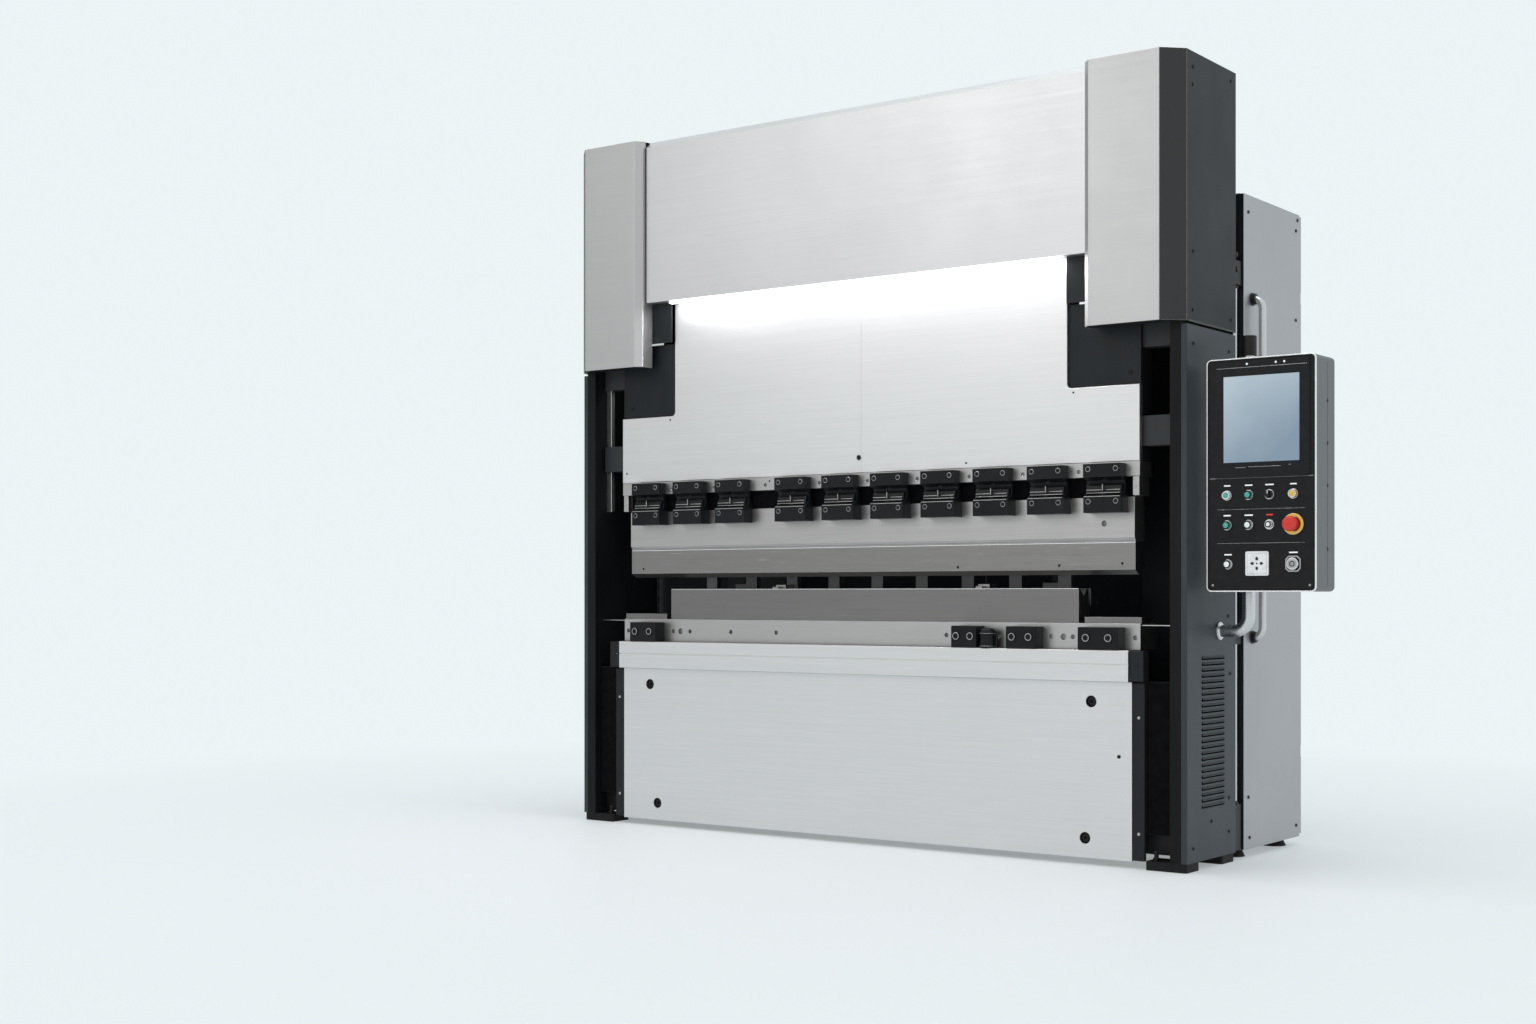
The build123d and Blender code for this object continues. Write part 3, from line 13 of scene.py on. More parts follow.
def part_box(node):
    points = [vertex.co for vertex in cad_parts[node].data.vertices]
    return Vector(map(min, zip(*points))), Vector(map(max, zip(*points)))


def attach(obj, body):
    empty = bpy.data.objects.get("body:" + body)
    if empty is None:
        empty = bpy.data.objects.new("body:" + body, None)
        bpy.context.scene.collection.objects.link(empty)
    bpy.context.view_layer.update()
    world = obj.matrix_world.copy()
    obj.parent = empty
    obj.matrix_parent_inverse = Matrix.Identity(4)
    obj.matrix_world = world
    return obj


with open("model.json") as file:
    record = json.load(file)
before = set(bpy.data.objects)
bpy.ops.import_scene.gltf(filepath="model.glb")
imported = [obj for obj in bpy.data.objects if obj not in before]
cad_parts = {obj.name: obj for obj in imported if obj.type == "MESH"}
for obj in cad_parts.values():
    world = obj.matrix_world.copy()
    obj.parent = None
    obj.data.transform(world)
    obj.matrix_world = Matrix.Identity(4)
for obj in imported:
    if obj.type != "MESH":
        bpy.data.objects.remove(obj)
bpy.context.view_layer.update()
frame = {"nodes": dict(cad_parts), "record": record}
nodes = frame["nodes"]

FORWARD, REARWARD, RIGHT, UP = (0, -1, 0), (0, 1, 0), (1, 0, 0), (0, 0, 1)
SIDES = (-1, 1)      # left and right of the middle plane


def corner(node, end):
    """Lowest (end 0) or highest (end 1) corner of a CAD node at rest."""
    return Vector(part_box(node)[end])


def extent(node):
    """Lowest and highest corner of a CAD node at rest."""
    return corner(node, 0), corner(node, 1)


def middle_of(node):
    return (corner(node, 0) + corner(node, 1)) / 2


def spans(node, axis):
    """Stretches (low, high) that a node's faces fill along an axis, merged where they overlap."""
    mesh = nodes[node].data
    filled = []
    for polygon in mesh.polygons:
        values = [mesh.vertices[index].co[axis] for index in polygon.vertices]
        filled.append((min(values), max(values)))
    merged = []
    for low, high in sorted(filled):
        if merged and low <= merged[-1][1] + 0.0005:
            merged[-1][1] = max(merged[-1][1], high)
        else:
            merged.append([low, high])
    return merged


# -------------------- materials
looks = {}      # every material made here, by name


def scaled(tone, factor, lift=0.0):
    """Colour made lighter or darker, no brighter than white."""
    return tuple(min(1.0, channel * factor + lift) for channel in tone)


class Nodes:
    """A node tree being built, with short calls that add nodes and join them."""

    def __init__(self, tree):
        self.tree = tree

    def node(self, kind, **settings):
        made = self.tree.nodes.new(kind)
        for key, value in settings.items():
            setattr(made, key, value)
        return made

    def join(self, source, target):
        self.tree.links.new(source, target)

    def split(self, vector):
        """The X, Y and Z outputs of a vector socket."""
        parts = self.node("ShaderNodeSeparateXYZ")
        self.join(vector, parts.inputs["Vector"])
        return parts.outputs

    def remap(self, value, low, high, to_low, to_high, curve="LINEAR"):
        ranged = self.node("ShaderNodeMapRange", interpolation_type=curve)
        for name, number in zip(("From Min", "From Max", "To Min", "To Max"), (low, high, to_low, to_high)):
            ranged.inputs[name].default_value = number
        self.join(value, ranged.inputs["Value"])
        return ranged.outputs["Result"]

    def math(self, operation, first, second):
        made = self.node("ShaderNodeMath", operation=operation)
        for socket, value in zip(made.inputs, (first, second)):
            if isinstance(value, (int, float)):
                socket.default_value = value
            else:
                self.join(value, socket)
        return made.outputs["Value"]

    def mix(self, factor, first, second):
        """Colour mix; each colour is a tuple or a socket."""
        made = self.node("ShaderNodeMix", data_type="RGBA")
        self.join(factor, made.inputs["Factor"])
        for name, value in (("A", first), ("B", second)):
            socket = [s for s in made.inputs if s.name == name and s.type == "RGBA"][0]
            if isinstance(value, tuple):
                socket.default_value = (*value, 1.0)
            else:
                self.join(value, socket)
        return [s for s in made.outputs if s.type == "RGBA"][0]


class Shader(Nodes):
    """A material with a Principled surface; it is listed in looks under its name."""

    def __init__(self, name, metallic=0.0, roughness=0.5, specular=0.5):
        self.material = looks[name] = bpy.data.materials.new(name)
        self.material.use_nodes = True
        super().__init__(self.material.node_tree)
        self.bsdf = self.tree.nodes["Principled BSDF"]
        self.preset("Metallic", metallic)
        self.preset("Roughness", roughness)
        self.preset("Specular IOR Level", specular)
        self.place = self.node("ShaderNodeTexCoord").outputs["Object"]

    def preset(self, socket, value):
        self.bsdf.inputs[socket].default_value = value

    def feed(self, socket, source):
        self.join(source, self.bsdf.inputs[socket])

    def noise(self, scale, detail=3.0, stretch=(1, 1, 1)):
        """Noise value, 0 to 1, with the coordinates stretched along the axes."""
        mapping = self.node("ShaderNodeMapping")
        mapping.inputs["Scale"].default_value = stretch
        texture = self.node("ShaderNodeTexNoise")
        for name, number in (("Scale", scale), ("Detail", detail), ("Roughness", 0.55)):
            texture.inputs[name].default_value = number
        self.join(self.place, mapping.inputs["Vector"])
        self.join(mapping.outputs["Vector"], texture.inputs["Vector"])
        return texture.outputs["Fac"]

    def spread(self, noise, to_low, to_high):
        """The middle of a noise's range drawn out between two values."""
        return self.remap(noise, 0.3, 0.7, to_low, to_high)

    def edges(self, radius):
        """Rounded normal at sharp edges, and a mask that is 1 on them."""
        bevel = self.node("ShaderNodeBevel", samples=4)
        bevel.inputs["Radius"].default_value = radius
        geometry = self.node("ShaderNodeNewGeometry")
        dot = self.node("ShaderNodeVectorMath", operation="DOT_PRODUCT")
        self.join(bevel.outputs["Normal"], dot.inputs[0])
        self.join(geometry.outputs["True Normal"], dot.inputs[1])
        return bevel.outputs["Normal"], self.remap(dot.outputs["Value"], 0.99, 0.8, 0.0, 1.0)

    def bump(self, height, strength, distance, normal=None):
        made = self.node("ShaderNodeBump")
        made.inputs["Strength"].default_value = strength
        made.inputs["Distance"].default_value = distance
        self.join(height, made.inputs["Height"])
        if normal is not None:
            self.join(normal, made.inputs["Normal"])
        self.feed("Normal", made.outputs["Normal"])


def brushed(name, tone, roughness, grain=(3, 420, 420), cloud=0.06, edge=0.35, lower=None):
    """Brushed sheet metal: fine streaks along one axis, soft clouding, sparse scratches, and sharp edges
    lightened towards white as a painted highlight.

    lower gives another tone and the height below which it is used.
    """
    shader = Shader(name, metallic=1.0, roughness=roughness)
    fine = shader.noise(1.0, detail=5, stretch=grain)
    coarse = shader.noise(1.0, detail=3, stretch=tuple(axis * 0.22 for axis in grain))
    streak = shader.math("ADD", shader.math("MULTIPLY", fine, 0.75), shader.math("MULTIPLY", coarse, 0.25))
    clouds = shader.noise(1.6, detail=4)
    lines = shader.noise(1.0, detail=1, stretch=tuple(axis * 1.9 for axis in grain))
    scratches = shader.remap(lines, 0.7, 0.78, 0.0, 0.5)
    shade = shader.mix(shader.spread(streak, 0.3, 0.7), scaled(tone, 0.9 - cloud),
                       scaled(tone, 1.05 + cloud))
    clouded = shader.mix(shader.spread(clouds, 0.0, cloud * 3), shade, scaled(tone, 0.86))
    if lower:
        below = shader.remap(shader.split(shader.place)["Z"], lower[1] + 0.001, lower[1] - 0.001, 0.0, 1.0)
        under = shader.mix(shader.spread(streak, 0.2, 0.8), scaled(lower[0], 0.88), scaled(lower[0], 1.1))
        clouded = shader.mix(below, clouded, under)
    scratched = shader.mix(scratches, clouded, scaled(tone, 1.18))
    normal, rim = shader.edges(0.0016)
    # edge sets how far the sharp edges are mixed towards white: a painted highlight
    shader.feed("Base Color", shader.mix(shader.math("MULTIPLY", rim, edge), scratched, (0.95, 0.95, 0.95)))
    shader.feed("Roughness", shader.math("ADD", shader.spread(streak, roughness - 0.06, roughness + 0.06),
                                         shader.spread(clouds, -0.03, 0.05)))
    shader.bump(streak, 0.07, 0.0003, normal)


def painted(name, tone, roughness=0.45, specular=0.35, peel=900.0, edge=0.5, edge_tone=None, dust=0.25):
    """Powder coat or enamel: fine orange peel, slight mottling, dust, and lighter broken edges, partly rubbed
    wear and partly a painted highlight.
    """
    shader = Shader(name, roughness=roughness, specular=specular)
    mottle = shader.noise(3.0, detail=5)
    speckle = shader.noise(peel, detail=2)
    streaks = shader.noise(1.0, detail=4, stretch=(9, 9, 1.2))
    shade = shader.mix(shader.remap(mottle, 0.35, 0.7, 0.0, 0.7), tone, scaled(tone, 1.45, 0.004))
    dusty = shader.mix(shader.remap(streaks, 0.5, 0.75, 0.0, dust), shade, scaled(tone, 1.7, 0.012))
    normal, rim = shader.edges(0.0018)
    broken = shader.math("MULTIPLY", rim, shader.remap(shader.noise(60.0), 0.4, 0.62, 0.25, 1.0))
    # edges lightened towards edge_tone: partly rubbed wear, partly a painted highlight
    shader.feed("Base Color", shader.mix(shader.math("MULTIPLY", broken, edge), dusty,
                                         edge_tone or scaled(tone, 4, 0.06)))
    shader.feed("Roughness", shader.math("ADD", shader.spread(mottle, roughness - 0.06, roughness + 0.07),
                                         shader.spread(speckle, -0.03, 0.03)))
    shader.bump(speckle, 0.22, 0.0003, normal)


def moulded(name, tone, roughness=0.35, glow=0.0, grain=1500.0, coat=0.0, specular=0.4):
    """Moulded plastic or rubber with a fine grain; glow makes it give off light: the light of a lamp lens, a
    faint glow on the buttons, and a painted glow on the label plates and sensor eyes, which hold no lamp.
    """
    shader = Shader(name, roughness=roughness, specular=specular)
    grainy = shader.noise(grain, detail=2)
    mottle = shader.noise(40.0)
    shade = shader.mix(shader.spread(mottle, 0.0, 1.0), scaled(tone, 0.88), scaled(tone, 1.1, 0.002))
    shader.feed("Base Color", shade)
    shader.feed("Roughness", shader.spread(grainy, roughness - 0.05, roughness + 0.06))
    if glow:
        shader.feed("Emission Color", shade)
        shader.preset("Emission Strength", glow)
    shader.preset("Coat Weight", coat)
    shader.bump(grainy, 0.12, 0.0002)


def display(name):
    """Pendant display: glass over a soft blue-grey gradient."""
    shader = Shader(name, roughness=0.12, specular=0.6)
    low, high = extent("pendant_screen")
    place = shader.split(shader.place)
    height = shader.remap(place["Z"], low.z, high.z, 0.0, 1.0)
    across = shader.remap(place["X"], low.x, high.x, 0.0, 1.0)
    slope = shader.math("SUBTRACT", shader.math("MULTIPLY", height, 0.8),
                        shader.math("MULTIPLY", across, 0.42))
    blend = shader.math("ADD", slope, shader.spread(shader.noise(7.0, detail=2), 0.08, 0.24))
    shader.feed("Base Color", shader.mix(blend, (0.02, 0.03, 0.04), (0.04, 0.05, 0.06)))
    shader.feed("Emission Color", shader.mix(blend, (0.205, 0.295, 0.385), (0.5, 0.6, 0.67)))
    shader.preset("Emission Strength", 0.85)
    shader.preset("Coat Weight", 0.3)


# the slots of the CAD model
brushed("brushed_panel", (0.74, 0.745, 0.75), 0.4)
brushed("machined_steel", (0.5, 0.495, 0.49), 0.36, grain=(6, 300, 300), cloud=0.1)
# bevel_trim is brushed steel made near black: a painted dark reflection on the tower chamfers
brushed("bevel_trim", (0.06, 0.06, 0.061), 0.42, grain=(500, 500, 4), cloud=0.08, edge=0.7)
painted("dark_paint", (0.0075, 0.01, 0.0125), specular=0.22)
painted("black_oxide", (0.0045, 0.005, 0.0058), roughness=0.34, specular=0.2, peel=1600,
        edge=0.75, edge_tone=(0.13, 0.135, 0.14), dust=0.1)
brushed("tube_steel", (0.62, 0.63, 0.64), 0.26, grain=(260, 260, 5), cloud=0.05)
painted("cast_dark", (0.022, 0.025, 0.028), roughness=0.55, peel=420, dust=0.35)
brushed("silver_sheet", (0.44, 0.445, 0.455), 0.44, grain=(300, 300, 5))
moulded("foot_black", (0.008, 0.008, 0.009), 0.6, grain=700, specular=0.2)
moulded("lens_white", (0.95, 0.97, 1.0), 0.3, glow=6.0)
moulded("panel_black", (0.0085, 0.01, 0.0115), 0.42, grain=2600, specular=0.16)
display("screen_glass")
brushed("bezel_chrome", (0.72, 0.72, 0.73), 0.18, grain=(300, 300, 300), cloud=0.04)
moulded("button_white", (0.78, 0.84, 0.82), 0.25, glow=0.12, coat=0.4)
moulded("button_green", (0.04, 0.36, 0.28), 0.25, glow=0.12, coat=0.4)
moulded("button_amber", (0.72, 0.46, 0.05), 0.25, glow=0.1, coat=0.4)
moulded("estop_red", (0.66, 0.018, 0.01), 0.28, grain=900, coat=0.5)
moulded("pad_white", (0.8, 0.81, 0.82), 0.38)
moulded("knob_black", (0.009, 0.009, 0.01), 0.36, specular=0.3)
painted("motor_blue_grey", (0.07, 0.09, 0.11), roughness=0.4)

# nodes given a look of their own instead of their slot's; some are lit or shaded copies of their slot's look
# the tower fronts' brushed panel steel darkened: a painted shade
brushed("shaded_tower_steel", (0.53, 0.53, 0.53), 0.42)
brushed("tool_steel", (0.225, 0.219, 0.214), 0.38, grain=(5, 260, 260), cloud=0.12, edge=0.6)
brushed("punch_steel", (0.5, 0.492, 0.485), 0.36, grain=(5, 280, 280), cloud=0.1, edge=0.6,
        lower=((0.27, 0.262, 0.255), corner("punch", 0).z + 0.11))
brushed("stop_steel", (0.17, 0.17, 0.17), 0.42, grain=(80, 80, 80), cloud=0.08, edge=0.8)
# the dark bluish paint made lighter for the column side covers: painted light
painted("lit_side_paint", (0.027, 0.0345, 0.041), roughness=0.42, specular=0.27, edge=0.6)
brushed("fascia_steel", (0.66, 0.665, 0.67), 0.41)
# the dark paint made darker still for the side frames' faces: a painted shade
painted("shaded_frame_paint", (0.0045, 0.0055, 0.0065), roughness=0.48, specular=0.13)
# the near-white edge tone of the pendant housing is a painted highlight on its rims
painted("pendant_grey", (0.102, 0.108, 0.114), roughness=0.42, edge=0.7, edge_tone=(0.7, 0.71, 0.72),
        dust=0.08)
OWN_LOOKS = {"tower_fronts": "shaded_tower_steel", "dies": "tool_steel", "punch": "punch_steel",
             "gauge_beam": "stop_steel", "side_covers": "lit_side_paint", "fascia_panel": "fascia_steel",
             "side_frames": "shaded_frame_paint", "pendant_housing": "pendant_grey"}
for entry in frame["record"]["subparts"]:
    for slot in nodes[entry["node"]].material_slots:
        slot.material = looks[OWN_LOOKS.get(entry["node"], entry["material_slot"])]

# looks of the pieces added below
moulded("collar_yellow", (0.86, 0.52, 0.01), 0.35, coat=0.3)
# the label plates glow though they hold no lamp: a painted glow, also on the pendant's sensor eyes
moulded("legend_white", (0.86, 0.88, 0.89), 0.5, glow=0.25)
moulded("legend_red", (0.7, 0.03, 0.02), 0.5, glow=0.3)
# bright metal; on the pendant's frame and the strips along the die, rail and punch it makes painted
# highlights
brushed("bright_trim_and_highlight", (0.86, 0.87, 0.88), 0.2, grain=(60, 60, 60), cloud=0.02)
# near black for gaps and recesses: painted shade
moulded("shade_black", (0.003, 0.003, 0.004), 0.8, specular=0.05)


# -------------------- piece makers
def builders(count):
    return [bmesh.new() for _ in range(count)]


def finish_piece(name, builder, slot, body="frame", look=None, bevel=0.0):
    """Turn a bmesh into an object that rides on a body; its look is the slot's unless one is named."""
    mesh = bpy.data.meshes.new(name)
    bmesh.ops.recalc_face_normals(builder, faces=builder.faces)
    builder.to_mesh(mesh)
    builder.free()
    piece = bpy.data.objects.new(name, mesh)
    bpy.context.scene.collection.objects.link(piece)
    mesh.materials.append(looks[look or slot])
    if bevel:
        modifier = piece.modifiers.new("edges", "BEVEL")
        modifier.width = bevel
        modifier.segments = 2
        modifier.limit_method = "ANGLE"
        modifier.angle_limit = math.radians(40)
    for polygon in mesh.polygons:
        polygon.use_smooth = True
    mesh.set_sharp_from_angle(angle=math.radians(38))
    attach(piece, body)


def add_box(builder, first, second):
    """Box between two opposite corners."""
    low, high = Vector(map(min, first, second)), Vector(map(max, first, second))
    matrix = Matrix.Translation((high + low) / 2) @ Matrix.Diagonal((*(high - low), 1.0))
    bmesh.ops.create_cube(builder, size=1.0, matrix=matrix)


def join_loops(builder, loops):
    """Faces between each loop of vertices and the next one."""
    for here, there in zip(loops, loops[1:]):
        for step in range(len(here)):
            after = (step + 1) % len(here)
            builder.faces.new((here[step], here[after], there[after], there[step]))


def mm(*profile):
    """Profile of (radius, height) pairs given in millimetres."""
    return [(radius / 1000, height / 1000) for radius, height in profile]


def section(y, z, *points):
    """Outline square to X: (ahead, lift) pairs in millimetres, measured from a place in Y and Z."""
    return [(0, y + ahead / 1000, z + lift / 1000) for ahead, lift in points]


def add_lathe(builder, origin, axis, profile, steps=32, bored=False):
    """Turned solid: profile is (radius, height) pairs along the axis from the origin.

    A bored one has a profile that goes down along its bore and closes; any other gets flat ends.
    """
    turn = Vector(UP).rotation_difference(Vector(axis)).to_matrix()
    loops = []
    for radius, height in profile:
        loop = []
        for step in range(steps):
            angle = 2 * math.pi * step / steps
            local = Vector((radius * math.cos(angle), radius * math.sin(angle), height))
            loop.append(builder.verts.new(Vector(origin) + turn @ local))
        loops.append(loop)
    if bored:
        join_loops(builder, loops + loops[:1])
    else:
        join_loops(builder, loops)
        builder.faces.new(loops[0][::-1])
        builder.faces.new(loops[-1])


def add_ring(builder, centre, axis, outer, inner, height, steps=28):
    """Flat ring with a chamfered outer edge, standing on its centre and reaching along the axis."""
    profile = [(outer, 0.0), (outer, height * 0.6), (outer - height * 0.4, height), (inner, height),
               (inner, 0.0)]
    add_lathe(builder, centre, axis, profile, steps, bored=True)


def add_bolt(builder, centre, axis, radius, height):
    """Round-headed socket screw standing on a surface."""
    add_lathe(builder, centre, axis, [(radius, 0.0), (radius, height * 0.55), (radius * 0.82, height),
                                      (radius * 0.48, height), (radius * 0.44, height * 0.35)], 24)


def add_prism(builder, outline, start, reach):
    """Prism: outline is a list of points, moved along the vector reach."""
    base = [builder.verts.new(Vector(start) + Vector(point)) for point in outline]
    far = [builder.verts.new(Vector(start) + Vector(point) + Vector(reach)) for point in outline]
    builder.faces.new(base)
    builder.faces.new(far[::-1])
    join_loops(builder, (base, far))


def rounded_outline(low, high, radius, steps=6):
    """Corner-rounded rectangle in X and Z, as (x, 0, z) points."""
    points = []
    centres = ((high[0] - radius, high[1] - radius, 0), (low[0] + radius, high[1] - radius, 90),
               (low[0] + radius, low[1] + radius, 180), (high[0] - radius, low[1] + radius, 270))
    for x, z, start in centres:
        for step in range(steps + 1):
            angle = math.radians(start + 90 * step / steps)
            points.append((x + radius * math.cos(angle), 0.0, z + radius * math.sin(angle)))
    return points


def add_frame_ring(builder, outer, inner, depth_low, depth_high):
    """Closed ring between two outlines with the same number of points, from one Y to another."""
    loops = []
    for outline, y in ((outer, depth_low), (inner, depth_low), (inner, depth_high), (outer, depth_high)):
        loops.append([builder.verts.new((x, y, z)) for x, _, z in outline])
    join_loops(builder, loops + loops[:1])


def add_round_frame(builder, low, high, rims, depth_low, depth_high, steps=6):
    """Rounded frame about a rectangle in X and Z; rims are (growth, corner radius), outer then inner."""
    outlines = [rounded_outline((low[0] - grow, low[1] - grow), (high[0] + grow, high[1] + grow), radius,
                                steps) for grow, radius in rims]
    add_frame_ring(builder, *outlines, depth_low, depth_high)


# -------------------- pendant details
housing_low, housing_high = extent("pendant_housing")
face_low, face_high = extent("pendant_face")
bezel_plane = face_low.y
face_y = bezel_plane + 0.003      # the face lies a little behind the screen's raised bezel
screen_low, screen_high = extent("pendant_screen")


def pendant_highlight_frame():
    """Bright frame round the front edge of the pendant, a painted highlight on the housing's rim, and the
    black border inside it.
    """
    trim, border = builders(2)
    low, high = (housing_low.x, housing_low.z), (housing_high.x, housing_high.z)
    front = housing_low.y
    for builder, rims, start, end in ((trim, ((0.0006, 0.0166), (-0.0032, 0.0128)), -0.0012, 0.007),
                                      (border, ((-0.0033, 0.0127), (-0.0068, 0.0092)), -0.0005, 0.003)):
        add_round_frame(builder, low, high, rims, front + start, front + end, 8)
    # the bright frame stands for the highlight on the housing's front rim: a painted highlight
    finish_piece("pendant_highlight_frame", trim, "bezel_chrome", "pendant", "bright_trim_and_highlight", 0.0009)
    finish_piece("pendant_border", border, "panel_black", "pendant", bevel=0.0004)


def pendant_lines():
    """Fine lines on the face: over the display, under its bezel and between the rows of controls."""
    bright, dull = builders(2)
    left, right = face_low.x + 0.022, face_high.x - 0.016
    top, bottom = face_high.z - 0.024, screen_low.z - 0.03
    add_box(bright, (left + 0.006, bezel_plane - 0.0004, top - 0.001),
            (right - 0.006, bezel_plane + 0.001, top))
    for start, end, drop in ((0.16, 0.3, 0.0165), (0.33, 0.76, 0.015), (0.86, 0.89, 0.012)):
        width = screen_high.x - screen_low.x
        add_box(bright, (screen_low.x + start * width, bezel_plane - 0.0003, screen_low.z - drop - 0.0009),
                (screen_low.x + end * width, bezel_plane + 0.001, screen_low.z - drop))
    rows = [corner("button_white_1", 0).z, corner("button_green_2", 0).z]
    for target, level, inset in ((bright, bottom - 0.02, 0.003), (dull, rows[0] - 0.033, 0.03),
                                 (dull, rows[1] - 0.046, 0.03)):
        add_box(target, (face_low.x + inset, face_y - 0.0005, level - 0.0007),
                (face_high.x - inset, face_y + 0.0006, level + 0.0007))
    finish_piece("pendant_face_lines", bright, "machined_steel", "pendant")
    finish_piece("pendant_row_lines", dull, "bevel_trim", "pendant")


def pendant_screws():
    """Screws at the foot of the face and along the seam of the side, and small sensor eyes on top."""
    screws, side, seam, eyes = builders(4)
    head = mm((4, 0), (4, 0.8), (3.2, 1.8), (1.8, 2.1), (1.6, 1))
    for x in (face_low.x + 0.014, face_high.x - 0.014):
        add_lathe(screws, (x, face_y, face_low.z + 0.014), FORWARD, head, 20)
    side_x, seam_y = housing_high.x, housing_low.y + 0.1
    hole = mm((6.2, 0), (6.2, 0.7), (5.2, 1.1), (3, 1.1), (2.8, 0.4))
    for share in (0.18, 0.45, 0.63, 0.81):
        place = (side_x, seam_y, housing_low.z + share * (housing_high.z - housing_low.z))
        add_lathe(side, place, RIGHT, hole, 20)
    add_box(seam, (side_x - 0.001, seam_y - 0.0008, housing_low.z + 0.018),
            (side_x + 0.0003, seam_y + 0.0008, housing_high.z - 0.018))
    eye = mm((3.4, 0), (3.4, 0.8), (2, 1.4), (0.4, 1.5))
    middle = (face_low.x + face_high.x) / 2
    for shift in (-0.045, 0.052, 0.08):
        add_lathe(eyes, (middle + shift, bezel_plane, face_high.z - 0.014), FORWARD, eye, 20)
    finish_piece("pendant_screws", screws, "silver_sheet", "pendant")
    finish_piece("pendant_side_screws", side, "black_oxide", "pendant")
    finish_piece("pendant_side_seam", seam, "cast_dark", "pendant")
    finish_piece("pendant_eyes", eyes, "pad_white", "pendant", "legend_white")


def control_legends():
    """Blank label plates over the controls, without lettering."""
    white, red = builders(2)
    labelled = ["button_white_1", "button_green_1", "selector_knob", "button_amber", "button_green_2",
                "button_white_2", "button_white_small", "button_white_3", "key_switch"]
    for index, node in enumerate(labelled):
        centre = middle_of(node)
        target = red if node == "button_white_small" else white
        lift = 0.031 if node != "key_switch" else 0.036
        half = 0.011 + 0.0015 * (index % 3)
        add_box(target, (centre.x - half, face_y - 0.0008, centre.z + lift - 0.002),
                (centre.x + half, face_y + 0.0004, centre.z + lift + 0.0022))
    finish_piece("control_legends", white, "pad_white", "pendant", "legend_white", 0.0003)
    finish_piece("control_legend_red", red, "estop_red", "pendant", "legend_red", 0.0003)


def estop_collar():
    """Yellow collar with a stepped, rounded edge round the emergency stop, and grip ribs on its cap."""
    centre, front = middle_of("estop_button"), corner("estop_button", 0).y
    collar, ribs = builders(2)
    profile = mm((32.5, 0), (33.8, 0.8), (33.8, 2.2), (31.8, 3.8), (26.2, 4.4), (25, 3.6), (9.8, 3.4),
                 (9.8, 0))
    place = (centre.x, corner("control_bezels", 0).y + 0.0036, centre.z)
    add_lathe(collar, place, FORWARD, profile, 56, bored=True)
    count, radius = 20, 0.0236
    for index in range(count):
        angle = 2 * math.pi * index / count
        place = (centre.x + radius * math.cos(angle), front + 0.015, centre.z + radius * math.sin(angle))
        add_lathe(ribs, place, FORWARD, mm((1.2, 0), (1.2, 5), (0.4, 6.4)), 10)
    finish_piece("estop_collar", collar, "button_amber", "pendant", "collar_yellow")
    finish_piece("estop_ribs", ribs, "estop_red", "estop_button")


def button_lenses():
    """A raised lens in a rim on each round button and a pointer on the selector, riding on them."""
    for node in ("button_white_1", "button_green_1", "button_green_2", "button_white_2", "button_amber",
                 "button_white_small", "button_white_3"):
        slot = "button_green" if node == "button_white_1" else "_".join(node.split("_")[:2])
        centre, front = middle_of(node), corner(node, 0).y
        radius = (corner(node, 1).x - corner(node, 0).x) / 2
        lens, ring = builders(2)
        profile = [(radius * 0.7, 0.0), (radius * 0.7, 0.0006), (radius * 0.58, 0.0015),
                   (radius * 0.3, 0.0021), (radius * 0.05, 0.0023)]
        add_lathe(lens, (centre.x, front + 0.0001, centre.z), FORWARD, profile, 36)
        finish_piece(f"{node}_lens", lens, slot, node)
        rim = "bezel_chrome" if node in ("button_white_1", "button_amber") else "knob_black"
        add_ring(ring, (centre.x, front + 0.0012, centre.z), FORWARD, radius + 0.0012, radius * 0.74,
                 0.0022, 40)
        finish_piece(f"{node}_ring", ring, rim, node)
    knob, front = middle_of("selector_knob"), corner("selector_knob", 0).y
    mark = bmesh.new()
    add_box(mark, (knob.x - 0.001, front - 0.0004, knob.z + 0.002),
            (knob.x + 0.001, front + 0.002, knob.z + 0.011))
    finish_piece("selector_mark", mark, "pad_white", "selector_knob", "legend_white", 0.0003)


def jog_marks():
    """Four dark arrowheads and a ringed centre on the white pad."""
    centre, front = middle_of("jog_pad"), corner("jog_pad", 0).y
    marks, border = builders(2)
    arrowhead = mm((22.5, 0), (16.5, 4.8), (10.5, 3.4), (10.5, -3.4), (16.5, -4.8))
    for turn in range(4):
        cosine, sine = math.cos(turn * math.pi / 2), math.sin(turn * math.pi / 2)
        outline = [(along * cosine - across * sine, 0.0, along * sine + across * cosine)
                   for along, across in arrowhead]
        add_prism(marks, outline, (centre.x, front - 0.0006, centre.z), (0, 0.0012, 0))
    add_lathe(marks, (centre.x, front + 0.0004, centre.z), FORWARD, mm((2.8, 0), (2.8, 0.7), (2, 1.1)), 24)
    middle = (centre.x, centre.z)
    add_round_frame(border, middle, middle, ((0.033, 0.004), (0.0322, 0.0034)), front - 0.0003,
                    front + 0.0006)
    finish_piece("jog_marks", marks, "knob_black", "jog_pad")
    finish_piece("jog_border", border, "silver_sheet", "jog_pad")


